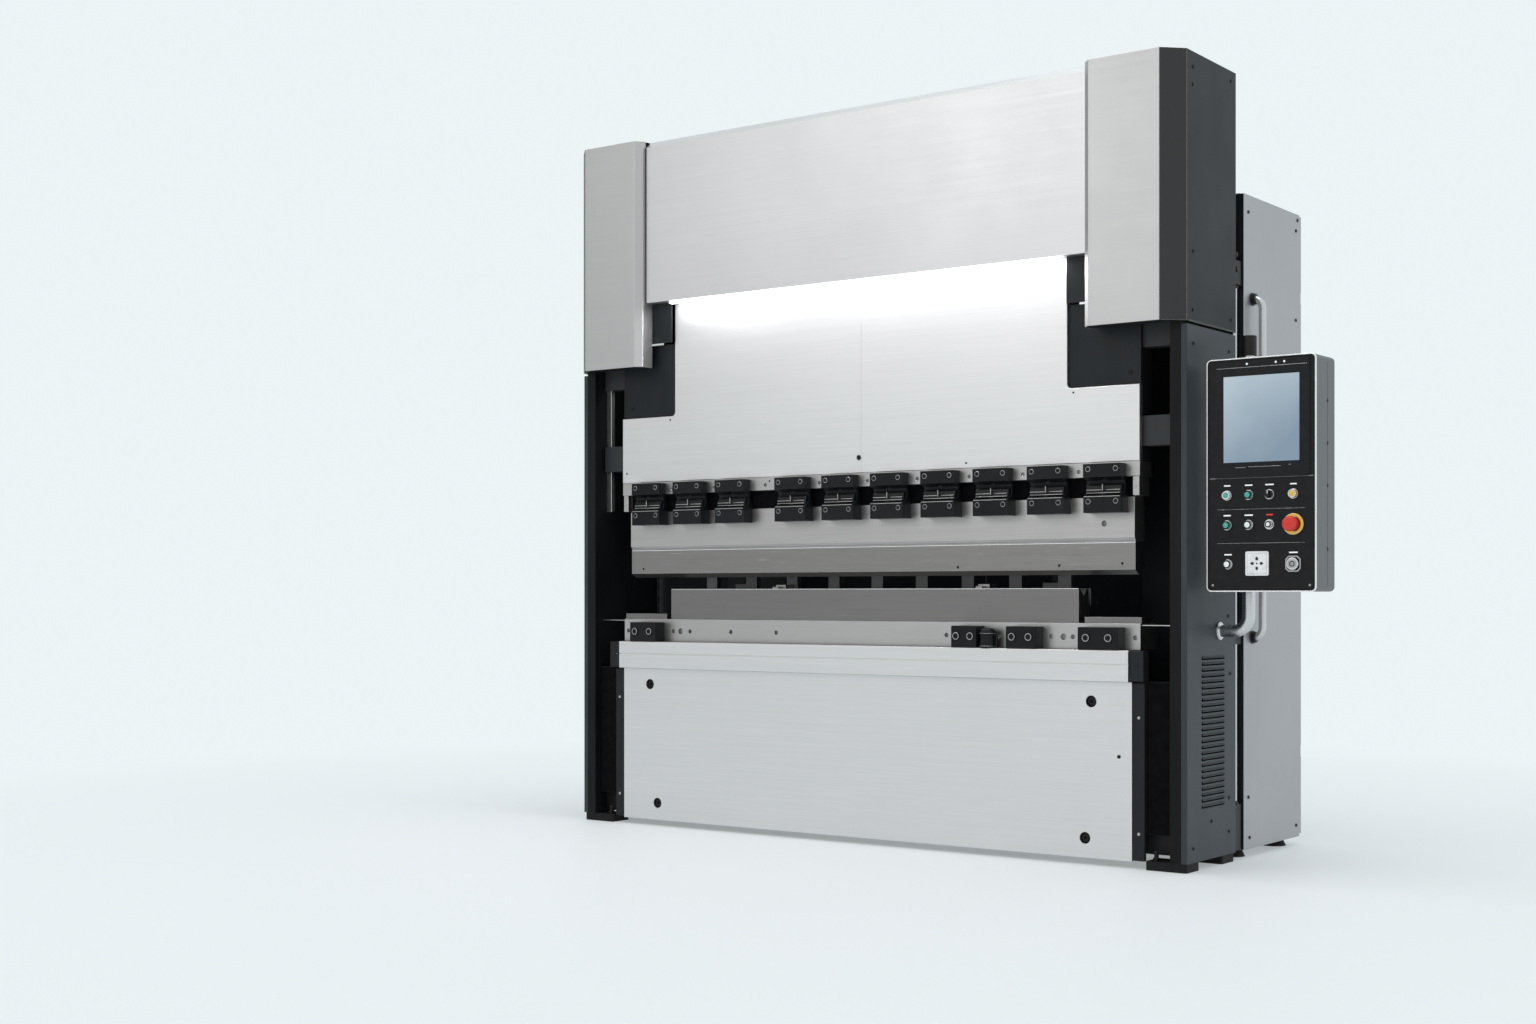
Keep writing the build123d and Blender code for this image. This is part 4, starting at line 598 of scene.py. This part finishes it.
def key_details():
    """Stepped ring and mouth of the key switch, on an eight-sided plate."""
    centre, front = middle_of("key_switch"), corner("key_switch", 0).y
    ring, plate, mouth = builders(3)
    profile = mm((15, 0), (15, 1), (13.5, 1.8), (10, 1.8), (9.6, 0.6))
    add_lathe(ring, (centre.x, front + 0.0001, centre.z), FORWARD, profile, 40)
    half, cut, opening = 0.0255, 0.01, 0.82
    corners = ((half, half - cut), (half - cut, half), (cut - half, half), (-half, half - cut),
               (-half, cut - half), (cut - half, -half), (half - cut, -half), (half, cut - half))
    outer, inner = ([(centre.x + x * share, 0, centre.z + z * share) for x, z in corners]
                    for share in (1, opening))
    add_frame_ring(plate, outer, inner, face_y - 0.005, face_y + 0.0004)
    add_ring(mouth, (centre.x, front + 0.0004, centre.z), FORWARD, 0.0088, 0.006, 0.0016, 32)
    finish_piece("key_ring", ring, "silver_sheet", "key_switch")
    finish_piece("key_plate", plate, "silver_sheet", "pendant", bevel=0.0012)
    finish_piece("key_mouth", mouth, "knob_black", "key_switch")


def arm_details():
    """Screws on the arm's wall flange, and the arm's black cap."""
    low, high = extent("pendant_arm")
    arm_y = (low.y + high.y) / 2
    screws, cap = builders(2)
    for index in range(4):
        angle = math.radians(45 + 90 * index)
        place = (low.x + 0.006, arm_y + 0.0255 * math.cos(angle), low.z + 0.03 + 0.0255 * math.sin(angle))
        add_lathe(screws, place, RIGHT, mm((3.5, 0), (3.5, 2), (2.6, 2.8), (1.2, 2.8)), 16)
    finish_piece("arm_flange_screws", screws, "bezel_chrome")
    profile = mm((26.2, 0), (26.6, 2), (26.6, 63), (25.8, 66.5), (22.5, 67.2))
    add_lathe(cap, (high.x - 0.025, arm_y, high.z - 0.0665), UP, profile, 48)
    finish_piece("arm_cap", cap, "knob_black")


for make in (pendant_highlight_frame, pendant_lines, pendant_screws, control_legends, estop_collar, button_lenses,
             jog_marks, key_details, arm_details):
    make()


# -------------------- tooling details
punch_low, punch_high = extent("punch")
bar_low, bar_high = extent("tool_bar")
bar_bottom = bar_high.z - 0.05     # the bar's foot, which the clamps reach round
clamp_low = corner("clamp_bodies", 0)


def holder_shade_strip():
    """Black strip over the tool holder, seen between the clamps, as painted shade of the recess there, and
    the light blocks at its ends.
    """
    shade_strip, ends = builders(2)
    front = punch_low.y + 0.0064
    add_box(shade_strip, (punch_low.x + 0.002, front, punch_high.z + 0.0006),
            (punch_high.x - 0.002, front + 0.0014, bar_bottom - 0.0004))
    for side in SIDES:
        inner, outer = side * (punch_high.x + 0.0008), side * (bar_high.x - 0.003)
        add_box(ends, (inner, bar_low.y + 0.002, punch_high.z + 0.004),
                (outer, punch_high.y - 0.01, bar_bottom - 0.0004))
        add_bolt(ends, ((inner + outer) / 2, bar_low.y + 0.002, bar_bottom - 0.034), FORWARD, 0.005, 0.002)
    # the black strip stands for the shade in the recess behind the clamps: painted shade
    finish_piece("holder_shade_strip", shade_strip, "black_oxide", "ram", "shade_black")
    finish_piece("holder_ends", ends, "machined_steel", "ram", bevel=0.0012)


def clamp_details():
    """Latch lever, hinge pin and screw rims on every tool clamp, and a bright strip along the top front edge
    of its lower block as a painted highlight.
    """
    levers, pins_and_highlights, rims = builders(3)
    lower_top = punch_high.z + 0.002
    middle = (lower_top + bar_bottom - 0.001) / 2
    waist = bar_low.y - 0.016
    outline = [*section(waist, lower_top, (-7, 2), (-13, 10)),
               *section(waist, middle, (-8.5, 4), (-1.5, 8), (1, -4)), *section(waist, lower_top, (-1, 6))]
    edge = section(clamp_low.y, lower_top, (-0.4, 0.3), (2, 0.4), (1.6, -1), (-0.4, -1.6))
    for low, high in spans("clamp_bodies", 0):
        centre = (low + high) / 2
        half = (high - low) / 2
        add_prism(levers, outline, (centre - half * 0.94, 0, 0), (half * 1.88, 0, 0))
        add_box(levers, (centre - 0.0095, waist - 0.0145, lower_top + 0.003),
                (centre + 0.0065, waist - 0.002, middle - 0.006))
        reach = half * 0.9
        for x, length, lift in ((centre - reach, reach - 0.006, 0.0215),
                                (centre + 0.012, reach - 0.012, 0.0215), (centre - reach, 2 * reach, 0.0115)):
            add_lathe(pins_and_highlights, (x, waist - 0.015, lower_top + lift), RIGHT,
                      [(0.0009, 0.0), (0.0013, 0.0006), (0.0013, length - 0.0006), (0.0009, length)], 12)
        add_lathe(pins_and_highlights, (centre - 0.002, waist - 0.0158, lower_top + 0.018), UP,
                  mm((1.1, 0), (1.6, 1), (1.6, 21), (0.8, 23)), 12)
        # bright strip along each clamp's top front edge: a painted highlight
        add_prism(pins_and_highlights, edge, (centre - half * 0.95, 0, 0), (half * 1.9, 0, 0))
    rows = spans("clamp_screws", 2)
    planes = (clamp_low.y + 0.002, clamp_low.y)
    for low, high in spans("clamp_screws", 0):
        for (row_low, row_high), plane in zip(rows, planes):
            add_ring(rims, ((low + high) / 2, plane, (row_low + row_high) / 2), FORWARD, 0.0092, 0.0073,
                     0.0012)
    finish_piece("clamp_levers", levers, "black_oxide", "ram", bevel=0.0008)
    finish_piece("clamp_pins_and_highlights", pins_and_highlights, "machined_steel", "ram")
    finish_piece("clamp_rims", rims, "silver_sheet", "ram")


def ram_details():
    """Fine seam, bolt and small screws on the ram panel."""
    low, high = extent("ram_panel")
    seam, bolts, rims = builders(3)
    add_box(seam, (0.0176, low.y - 0.0003, low.z + 0.004), (0.0186, low.y + 0.0006, high.z - 0.004))
    main_bolt = (0.008, low.y, low.z + 0.056)
    add_bolt(bolts, main_bolt, FORWARD, 0.0088, 0.0035)
    add_ring(rims, main_bolt, FORWARD, 0.0112, 0.009, 0.001)
    for x, lift in ((low.x + 0.022, 0.037), (0.462, 0.018), (0.883, 0.24), (-0.883, 0.24)):
        add_bolt(bolts, (x, low.y, low.z + lift), FORWARD, 0.0036, 0.0016)
    finish_piece("ram_seam", seam, "tube_steel", "ram")
    finish_piece("ram_bolts", bolts, "black_oxide", "ram")
    finish_piece("ram_bolt_rim", rims, "silver_sheet", "ram")


def bed_details():
    """Rims on the toe clamp screws, the roller's knob with two rings of painted highlight, ends of the bed
    rail and side trims of the apron, and black sheets beyond these trims that are painted shade in the
    recesses.
    """
    rims, dark, recess_shades, steel = builders(4)
    toe = corner("die_clamps", 0)
    for low, high in spans("die_clamps", 0):
        width = high - low
        centre = (low + high) / 2
        if width > 0.08:      # a toe clamp; the narrow one is the roller
            for shift in (-0.28, 0.28):
                place = (centre + shift * width, toe.y, toe.z + 0.04)
                add_ring(rims, place, FORWARD, 0.0128, 0.0104, 0.0014)
        else:
            add_lathe(dark, (centre, toe.y + 0.025, toe.z + 0.058), UP,
                      mm((26, 0), (26, 4), (21, 9), (10, 11)), 40)
            # two thin silver rings on the roller's knob are painted highlights
            for ring_z in (toe.z + 0.006, toe.z + 0.05):
                add_ring(rims, (centre, toe.y + 0.025, ring_z), UP, 0.0306, 0.0296, 0.0012, 44)
    rail_low, rail_high = extent("bed_rail")
    apron_low, apron_high = extent("apron_panel")
    die_rail_low, die_rail_high = extent("die_rail")
    frame_plate = 0.04
    wall = corner("side_frames", 1).x - frame_plate
    beam = corner("lower_beam", 0)
    for side in SIDES:
        add_box(dark, (side * (rail_high.x + 0.0008), rail_low.y + 0.006, rail_low.z + 0.003),
                (side * (rail_high.x + 0.052), beam.y + 0.0005, rail_high.z - 0.002))
        add_bolt(dark, (side * (rail_high.x + 0.026), rail_low.y + 0.006, rail_low.z + 0.055), FORWARD,
                 0.006, 0.003)
        add_box(dark, (side * (apron_high.x + 0.002), apron_low.y + 0.003, apron_low.z + 0.004),
                (side * (apron_high.x + 0.044), beam.y - 0.0004, apron_high.z - 0.003))
        for z in (0.115, 0.5):
            add_bolt(steel, (side * (apron_high.x + 0.024), apron_low.y + 0.003, z), FORWARD, 0.0055, 0.0025)
        # black sheets in the recesses beside the apron: painted shade
        add_box(recess_shades, (side * (apron_high.x + 0.046), beam.y - 0.0016, beam.z + 0.001),
                (side * (wall - 0.001), beam.y - 0.0003, apron_high.z - 0.001))
        rod_start = die_rail_high.x + 0.001
        add_lathe(steel, (side * rod_start, die_rail_low.y + 0.012, die_rail_high.z - 0.006), (side, 0, 0),
                  [(0.0022, 0.0), (0.0022, wall - rod_start - 0.001)], 12)
    finish_piece("toe_rims_and_roller_highlights", rims, "silver_sheet")
    finish_piece("bed_ends", dark, "dark_paint", bevel=0.0022)
    finish_piece("apron_recess_shade", recess_shades, "black_oxide", look="shade_black")
    finish_piece("bed_steel", steel, "machined_steel")


# -------------------- covers
CABINET_WIDTH = 0.38
POST_INSET = 0.019     # from the outside of a post's fittings to its middle


def louvre_hoods():
    """Pressed lip over each louvre of the column covers, and a black sheet behind each row of louvres as
    painted shade in the slots.
    """
    cover_low, cover_high = extent("side_covers")
    first, pitch, count = 0.175, 0.0196, 26
    middle, half = 0.01, 0.088
    builder, shade_backs = builders(2)
    for side in SIDES:
        wall = side * cover_high.x
        for index in range(count):
            z = cover_low.z + first + pitch * index
            outline = [(side * -0.001, 0, z + 0.0085), (side * 0.0002, 0, z + 0.009),
                       (side * 0.0036, 0, z + 0.0022), (side * 0.003, 0, z + 0.0014),
                       (side * -0.001, 0, z + 0.006)]
            add_prism(builder, outline, (wall, middle - half, 0), (0, 2 * half, 0))
        # black sheet behind the slots: painted shade
        add_box(shade_backs, (wall - side * 0.012, middle - 0.115, cover_low.z + first - 0.03),
                (wall - side * 0.0135, middle + 0.115, cover_low.z + first + pitch * count + 0.02))
    finish_piece("louvre_hoods", builder, "dark_paint")
    finish_piece("louvre_shade_backs", shade_backs, "black_oxide", look="shade_black")


def cover_details():
    """Dark front sheets of the cabinets, lips under the towers, black strips by the fascia's ends as painted
    shade in the gaps, knobs on the posts.
    """
    sheets, lips, end_shades, knobs = builders(4)
    cabinet_low, cabinet_high = extent("rear_cabinets")
    tower_low, tower_high = extent("tower_sides")
    panel_low, panel_high = extent("fascia_panel")
    post_low, post_high = extent("post_fittings")
    post_y = (post_low.y + post_high.y) / 2
    for side in SIDES:
        inner_side = side * (-cabinet_low.x - CABINET_WIDTH)
        add_box(sheets, (inner_side, cabinet_low.y - 0.0016, cabinet_low.z + 0.002),
                (side * (cabinet_high.x - 0.0005), cabinet_low.y - 0.0002, cabinet_high.z - 0.001))
        wall = side * tower_high.x
        add_box(lips, (wall - side * 0.004, tower_low.y + 0.075, tower_low.z - 0.0012),
                (wall + side * 0.0012, tower_high.y - 0.001, tower_low.z + 0.004))
        # black strips in the gaps at the fascia's ends: painted shade
        add_box(end_shades, (side * (panel_high.x + 0.0003), panel_low.y + 0.004, panel_low.z + 0.001),
                (side * (panel_high.x + 0.0037), panel_low.y + 0.034, panel_high.z - 0.001))
        add_lathe(knobs, (side * (post_high.x - POST_INSET), post_y, post_high.z), UP,
                  mm((10, 0), (10, 10), (16, 14), (18, 22), (16, 30), (8, 34)))
        add_lathe(knobs, (side * (post_high.x - 0.004), post_y - 0.012, post_high.z - 0.03), (side, 0, 0),
                  mm((10, 0), (10, 7), (7, 10)), 24)
    finish_piece("cabinet_fronts", sheets, "dark_paint", bevel=0.0005)
    finish_piece("tower_lips", lips, "bevel_trim", bevel=0.0008)
    finish_piece("fascia_end_shades", end_shades, "black_oxide", look="shade_black")
    finish_piece("post_knobs", knobs, "knob_black")


def tube_details():
    """Flange rings and glands where the arm, the posts and the conduit meet their walls."""
    rings, glands = builders(2)
    arm, tubes = corner("pendant_arm", 0), corner("side_tubes", 1)
    add_ring(rings, (corner("side_covers", 1).x + 0.006, arm.y + 0.03, arm.z + 0.03), RIGHT,
             0.0262, 0.0212, 0.005, 48)
    for z in (0.76, 1.93):
        add_lathe(glands, (tubes.x - 0.0486, tubes.y - 0.013, z), RIGHT,
                  mm((22.5, 0), (22.5, 4), (19, 5), (19, 13), (16.5, 15)))
    for side in SIDES:
        x = side * (corner("post_fittings", 1).x - POST_INSET)
        for z in (0.19, 1.956):
            add_ring(glands, (x, middle_of("post_fittings").y, z), UP, 0.0185, 0.0142, 0.012, 36)
    finish_piece("arm_rings", rings, "bezel_chrome", look="bright_trim_and_highlight")
    finish_piece("tube_glands", glands, "knob_black")


def edge_highlight_strips():
    """Bright strips that run along the die, the die rail and the step of the punch: painted highlights on
    their edges.
    """
    fixed, moving = builders(2)
    die_low, die_high = extent("dies")
    rail_low, rail_high = extent("die_rail")
    die_half = die_high.x - 0.233     # the long die, without the end blocks
    for half, y, z in ((die_half, die_low.y, die_high.z), (rail_high.x, rail_low.y + 0.002, rail_high.z)):
        outline = section(y, z, (-0.3, 0.1), (1.6, 0.2), (1.2, -1.2), (-0.3, -2.2))
        add_prism(fixed, outline, (0.0006 - half, 0, 0), (2 * half - 0.0012, 0, 0))
    outline = section(punch_low.y, punch_low.z + 0.1085, (6, 0), (4.6, 0), (5.2, -2.6), (6.2, -3))
    add_prism(moving, outline, (punch_low.x + 0.001, 0, 0), (punch_high.x - punch_low.x - 0.002, 0, 0))
    # the bright strips stand for highlights along these edges: painted highlights
    finish_piece("fixed_edge_highlights", fixed, "bezel_chrome", look="bright_trim_and_highlight")
    finish_piece("punch_edge_highlight", moving, "bezel_chrome", "ram", "bright_trim_and_highlight")


# -------------------- rear and inside details
def door_details():
    """Lined finger pull, lock and edge trim on each door at the rear."""
    for node, opens_right, inset, grip_z in (("rear_door_left", True, 0.057, 1.1),
                                             ("rear_door_right", False, 0.057, 1.1),
                                             ("cabinet_door", False, 0.045, 1.15)):
        low, high = extent(node)
        grip_x = (high.x - inset) if opens_right else (low.x + inset)
        metal, trim = builders(2)
        add_round_frame(metal, (grip_x, grip_z - 0.063), (grip_x, grip_z + 0.063),
                        ((0.0205, 0.0204), (0.0168, 0.0167)), high.y - 0.006, high.y + 0.0024, 10)
        add_lathe(metal, (grip_x, high.y - 0.0002, grip_z + 0.13), REARWARD,
                  mm((14, 0), (14, 3), (11.5, 4.5), (4, 4.5), (3.6, 2)))
        border, inner = ([(low.x + gap, 0, low.z + gap), (high.x - gap, 0, low.z + gap),
                          (high.x - gap, 0, high.z - gap), (low.x + gap, 0, high.z - gap)]
                         for gap in (0.016, 0.02))
        add_frame_ring(trim, border, inner, high.y - 0.0008, high.y + 0.0014)
        finish_piece(f"{node}_handle", metal, "tube_steel", node)
        finish_piece(f"{node}_trim", trim, "cast_dark", node, bevel=0.0005)


def rear_details():
    """Louvres, fan guard and blank plate on the left cabinet's closed rear, and bolts on both tops."""
    low, high = extent("rear_cabinets")
    closed_y = high.y - 0.016     # the left cabinet has no door standing on its rear
    grille, rings, plates, tops = builders(4)
    left, right = low.x + 0.05, low.x + 0.33
    count, lowest, pitch = 14, 0.3, 0.02
    for index in range(count):
        outline = section(closed_y, lowest + pitch * index,
                          (-0.5, 10), (0.5, 10.5), (7.5, 0), (6.5, -1), (-0.5, 7.5))
        add_prism(grille, outline, (left, 0, 0), (right - left, 0, 0))
    fan_x, fan_z = (left + right) / 2, 1.78
    for radius in (0.1, 0.078, 0.056, 0.034):
        add_ring(rings, (fan_x, closed_y + 0.002, fan_z), REARWARD, radius, radius - 0.0035, 0.0035, 48)
    for index in range(8):
        angle = math.pi * index / 4
        ahead = Vector((math.cos(angle), 0, math.sin(angle)))
        add_lathe(rings, Vector((fan_x, closed_y + 0.003, fan_z)) + ahead * 0.016, ahead,
                  mm((1.8, 0), (1.8, 84)), 8)
    add_lathe(rings, (fan_x, closed_y - 0.0005, fan_z), REARWARD, mm((18, 0), (18, 5.5), (12, 7)))
    add_lathe(plates, (fan_x, closed_y - 0.0008, fan_z), REARWARD, mm((104, 0), (104, 2.2), (101, 2.6)), 48)
    add_box(plates, (left + 0.08, closed_y - 0.0004, 1.28), (right - 0.08, closed_y + 0.0016, 1.36))
    for screw_x in (left + 0.086, right - 0.086):
        for screw_z in (1.286, 1.354):
            add_bolt(rings, (screw_x, closed_y + 0.0014, screw_z), REARWARD, 0.003, 0.0014)
    finish_piece("cabinet_grille", grille, "silver_sheet")
    finish_piece("fan_guard", rings, "tube_steel")
    finish_piece("cabinet_plates", plates, "cast_dark", bevel=0.0006)
    for side in SIDES:
        for share_x, share_y in ((0.12, 0.12), (0.88, 0.12), (0.12, 0.86), (0.88, 0.86)):
            x = side * (-low.x - CABINET_WIDTH * (1 - share_x))
            add_lathe(tops, (x, low.y + 0.5 * share_y, high.z), UP,
                      mm((17, 0), (17, 4), (11, 6), (11, 12), (6, 14)), 24)
    add_lathe(tops, (low.x + CABINET_WIDTH / 2, low.y + 0.25, high.z), UP,
              mm((45, 0), (45, 10), (38, 14), (38, 40), (32, 46), (10, 46)), 40)
    finish_piece("cabinet_top_bolts", tops, "bevel_trim")


def power_details():
    """Cooling fins and fan hood of the motor, and the tank's sight gauge and filler."""
    low, high = extent("power_pack")
    centre_x, centre_y = (low.x + high.x) / 2, (low.y + high.y) / 2
    fins, gauge = builders(2)
    fin_count, fin_root, fin_tip = 28, 0.104, 0.114
    for index in range(fin_count):
        angle = 2 * math.pi * index / fin_count
        out = Vector((math.cos(angle), math.sin(angle), 0))
        across = Vector((-out.y, out.x, 0)) * 0.0018
        outline = [out * fin_root - across, out * fin_tip - across * 0.6, out * fin_tip + across * 0.6,
                   out * fin_root + across]
        add_prism(fins, outline, (centre_x, centre_y, high.z - 0.31), (0, 0, 0.225))
    add_lathe(fins, (centre_x, centre_y, high.z - 0.08), UP,
              mm((114.5, 0), (116.5, 4), (116.5, 62), (100, 78)), 48)
    finish_piece("motor_fins", fins, "motor_blue_grey")
    add_lathe(gauge, (centre_x - 0.06, high.y, 0.3), REARWARD, mm((10, 0), (10, 12), (7, 14)), 24)
    add_box(gauge, (centre_x - 0.068, high.y, 0.32), (centre_x - 0.052, high.y + 0.01, 0.46))
    add_lathe(gauge, (centre_x + 0.09, high.y - 0.1, 0.62), UP, mm((30, 0), (30, 30), (24, 36)))
    finish_piece("tank_gauge", gauge, "tube_steel", bevel=0.0012)


def switchgear_details():
    """Faces, levers and terminal screws of the switchgear, with a cable duct over each row."""
    low, high = extent("electrical_modules")
    levers, ducts, faces = builders(3)
    middle_z, row_pitch, column_pitch = 0.98, 0.33, 0.072
    for row in range(4):
        z = middle_z + row_pitch * (row - 1.5)
        for column in range(4):
            x = (low.x + high.x) / 2 + column_pitch * (column - 1.5)
            add_box(faces, (x - 0.024, high.y - 0.0004, z - 0.07), (x + 0.024, high.y + 0.006, z + 0.07))
            add_box(levers, (x - 0.007, high.y + 0.0055, z - 0.012), (x + 0.007, high.y + 0.016, z + 0.016))
            for shift in (-0.016, 0.0, 0.016):
                for level in (-0.083, 0.083):
                    add_bolt(levers, (x + shift, high.y, z + level), REARWARD, 0.0042, 0.002)
        add_box(ducts, (low.x + 0.02, low.y + 0.0121, z + 0.128), (high.x - 0.02, low.y + 0.055, z + 0.178))
    finish_piece("switch_faces", faces, "silver_sheet", bevel=0.002)
    finish_piece("switch_levers", levers, "tube_steel", bevel=0.001)
    finish_piece("cable_ducts", ducts, "pad_white", bevel=0.002)


def drive_details():
    """Head bolts of the cylinders, and screws and caps on the back gauge's columns."""
    fixed, moving = builders(2)
    low, high = extent("cylinders")
    bolt_circle = 0.076
    for side in SIDES:
        for index in range(8):
            angle = math.pi * (index + 0.5) / 4
            place = (side * (high.x - 0.095) + bolt_circle * math.cos(angle),
                     (low.y + high.y) / 2 + bolt_circle * math.sin(angle), high.z)
            add_bolt(fixed, place, UP, 0.01, 0.01)
    low, high = extent("gauge_carriage")
    for side in SIDES:
        x, y = side * (high.x - 0.034), (low.y + high.y) / 2
        for z in (high.z - 0.03, high.z - 0.09):
            add_bolt(moving, (x, y + 0.022, z), REARWARD, 0.007, 0.005)
        add_lathe(moving, (x, y, high.z), UP, mm((17, 0), (17, 6), (10, 9), (10, 30), (6, 32)), 28)
    finish_piece("cylinder_bolts", fixed, "bezel_chrome")
    finish_piece("carriage_bolts", moving, "bezel_chrome", "gauge_carriage")


def foot_details():
    """Levelling screws and nuts on the pads under the side frames."""
    feet, pads = corner("floor_feet", 0), corner("side_frames", 0)
    builder = bmesh.new()
    for side in SIDES:
        for end in (-1, 1):
            x, y = side * (-feet.x - 0.118), end * (-pads.y - 0.03)
            hexagon = [(0.013 * math.cos(angle), 0.013 * math.sin(angle), 0)
                       for angle in (math.pi * index / 3 for index in range(6))]
            add_prism(builder, hexagon, (x, y, pads.z), (0, 0, 0.01))
            add_lathe(builder, (x, y, pads.z + 0.01), UP, mm((7.5, 0), (7.5, 22), (6.2, 24)), 20)
    finish_piece("levelling_screws", builder, "black_oxide", bevel=0.0006)


for make in (holder_shade_strip, clamp_details, ram_details, bed_details, louvre_hoods, cover_details, tube_details,
             edge_highlight_strips, door_details, rear_details, power_details, switchgear_details, drive_details,
             foot_details):
    make()


# -------------------- studio
BACKGROUND = (0.838, 0.9, 0.92)


def studio_floor():
    """Pale floor that fades into the background colour far from the machine."""
    mesh = bpy.data.meshes.new("studio_floor")
    builder = bmesh.new()
    bmesh.ops.create_circle(builder, cap_ends=True, segments=96, radius=60.0)
    builder.to_mesh(mesh)
    builder.free()
    floor = bpy.data.objects.new("studio_floor", mesh)
    floor.location.z = -0.0005
    bpy.context.scene.collection.objects.link(floor)
    shader = Shader("studio_floor", roughness=0.55, specular=0.25)
    shader.preset("Base Color", (0.78, 0.8, 0.815, 1.0))
    distance = shader.node("ShaderNodeVectorMath", operation="LENGTH")
    shader.join(shader.place, distance.inputs[0])
    glow = shader.node("ShaderNodeEmission")
    glow.inputs["Color"].default_value = (*BACKGROUND, 1.0)
    mixer = shader.node("ShaderNodeMixShader")
    shader.join(shader.remap(distance.outputs["Value"], 1.6, 5.2, 0.35, 1.0), mixer.inputs["Fac"])
    shader.join(shader.bsdf.outputs["BSDF"], mixer.inputs[1])
    shader.join(glow.outputs["Emission"], mixer.inputs[2])
    shader.join(mixer.outputs["Shader"], shader.tree.nodes["Material Output"].inputs["Surface"])
    mesh.materials.append(shader.material)


def studio_surroundings():
    """Pale surroundings that cast less light from the front and least from the left.

    The backdrop itself is one plain tone on every side; only the light it casts varies.
    """
    world = bpy.data.worlds.new("studio")
    bpy.context.scene.world = world
    world.use_nodes = True
    sky = Nodes(world.node_tree)
    way = sky.node("ShaderNodeTexCoord").outputs["Generated"]
    leftward = sky.node("ShaderNodeVectorMath", operation="DOT_PRODUCT")
    leftward.inputs[1].default_value = (-0.95, -0.31, 0.0)
    sky.join(way, leftward.inputs[0])
    colour = BACKGROUND
    for value, start, end, tone in ((sky.split(way)["Y"], 0.05, -0.35, 0.8),
                                    (leftward.outputs["Value"], 0.66, 0.95, 0.44)):
        colour = sky.mix(sky.remap(value, start, end, 0.0, 1.0, "SMOOTHSTEP"), colour, (tone, tone, tone))
    seen = sky.node("ShaderNodeLightPath").outputs["Is Camera Ray"]
    backdrop = sky.tree.nodes["Background"]
    backdrop.inputs["Strength"].default_value = 1.0
    sky.join(sky.mix(seen, colour, BACKGROUND), backdrop.inputs["Color"])


def area_light(name, place, target, size, power):
    """Rectangular soft light at a place, aimed at a target."""
    data = bpy.data.lights.new(name, "AREA")
    data.shape = "RECTANGLE"
    data.size, data.size_y = size
    data.energy = power
    lamp = bpy.data.objects.new(name, data)
    lamp.location = place
    lamp.rotation_euler = (Vector(target) - Vector(place)).to_track_quat("-Z", "Y").to_euler()
    bpy.context.scene.collection.objects.link(lamp)


def studio_light():
    """Large key light from the upper left, a wide light overhead and the glow of the work light."""
    area_light("key", (-3.2, -7.3, 4.6), (0, 0, 1.4), (4.6, 3.0), 58)
    area_light("top", (0.5, -1.0, 7.0), (0, 0, 1.0), (5.0, 3.0), 110)
    fascia_low = corner("fascia_panel", 0)
    lamp_y = fascia_low.y + 0.022
    area_light("work_light_glow", (0, lamp_y, fascia_low.z - 0.014), (0, lamp_y + 0.03, fascia_low.z - 0.4),
               (1.68, 0.016), 6)


def studio_camera():
    """Level camera in front of the right side, shifted up to keep the verticals straight."""
    data = bpy.data.cameras.new("camera")
    data.lens = 46.3
    data.sensor_width = 36.0
    data.shift_y = 0.0537
    camera = bpy.data.objects.new("camera", data)
    camera.location = (4.044, -6.154, 0.908)
    camera.rotation_euler = (math.radians(90), 0, math.radians(36.62))
    bpy.context.scene.collection.objects.link(camera)
    bpy.context.scene.camera = camera


studio_floor()
studio_surroundings()
studio_light()
studio_camera()
bpy.context.scene.view_settings.view_transform = "Standard"
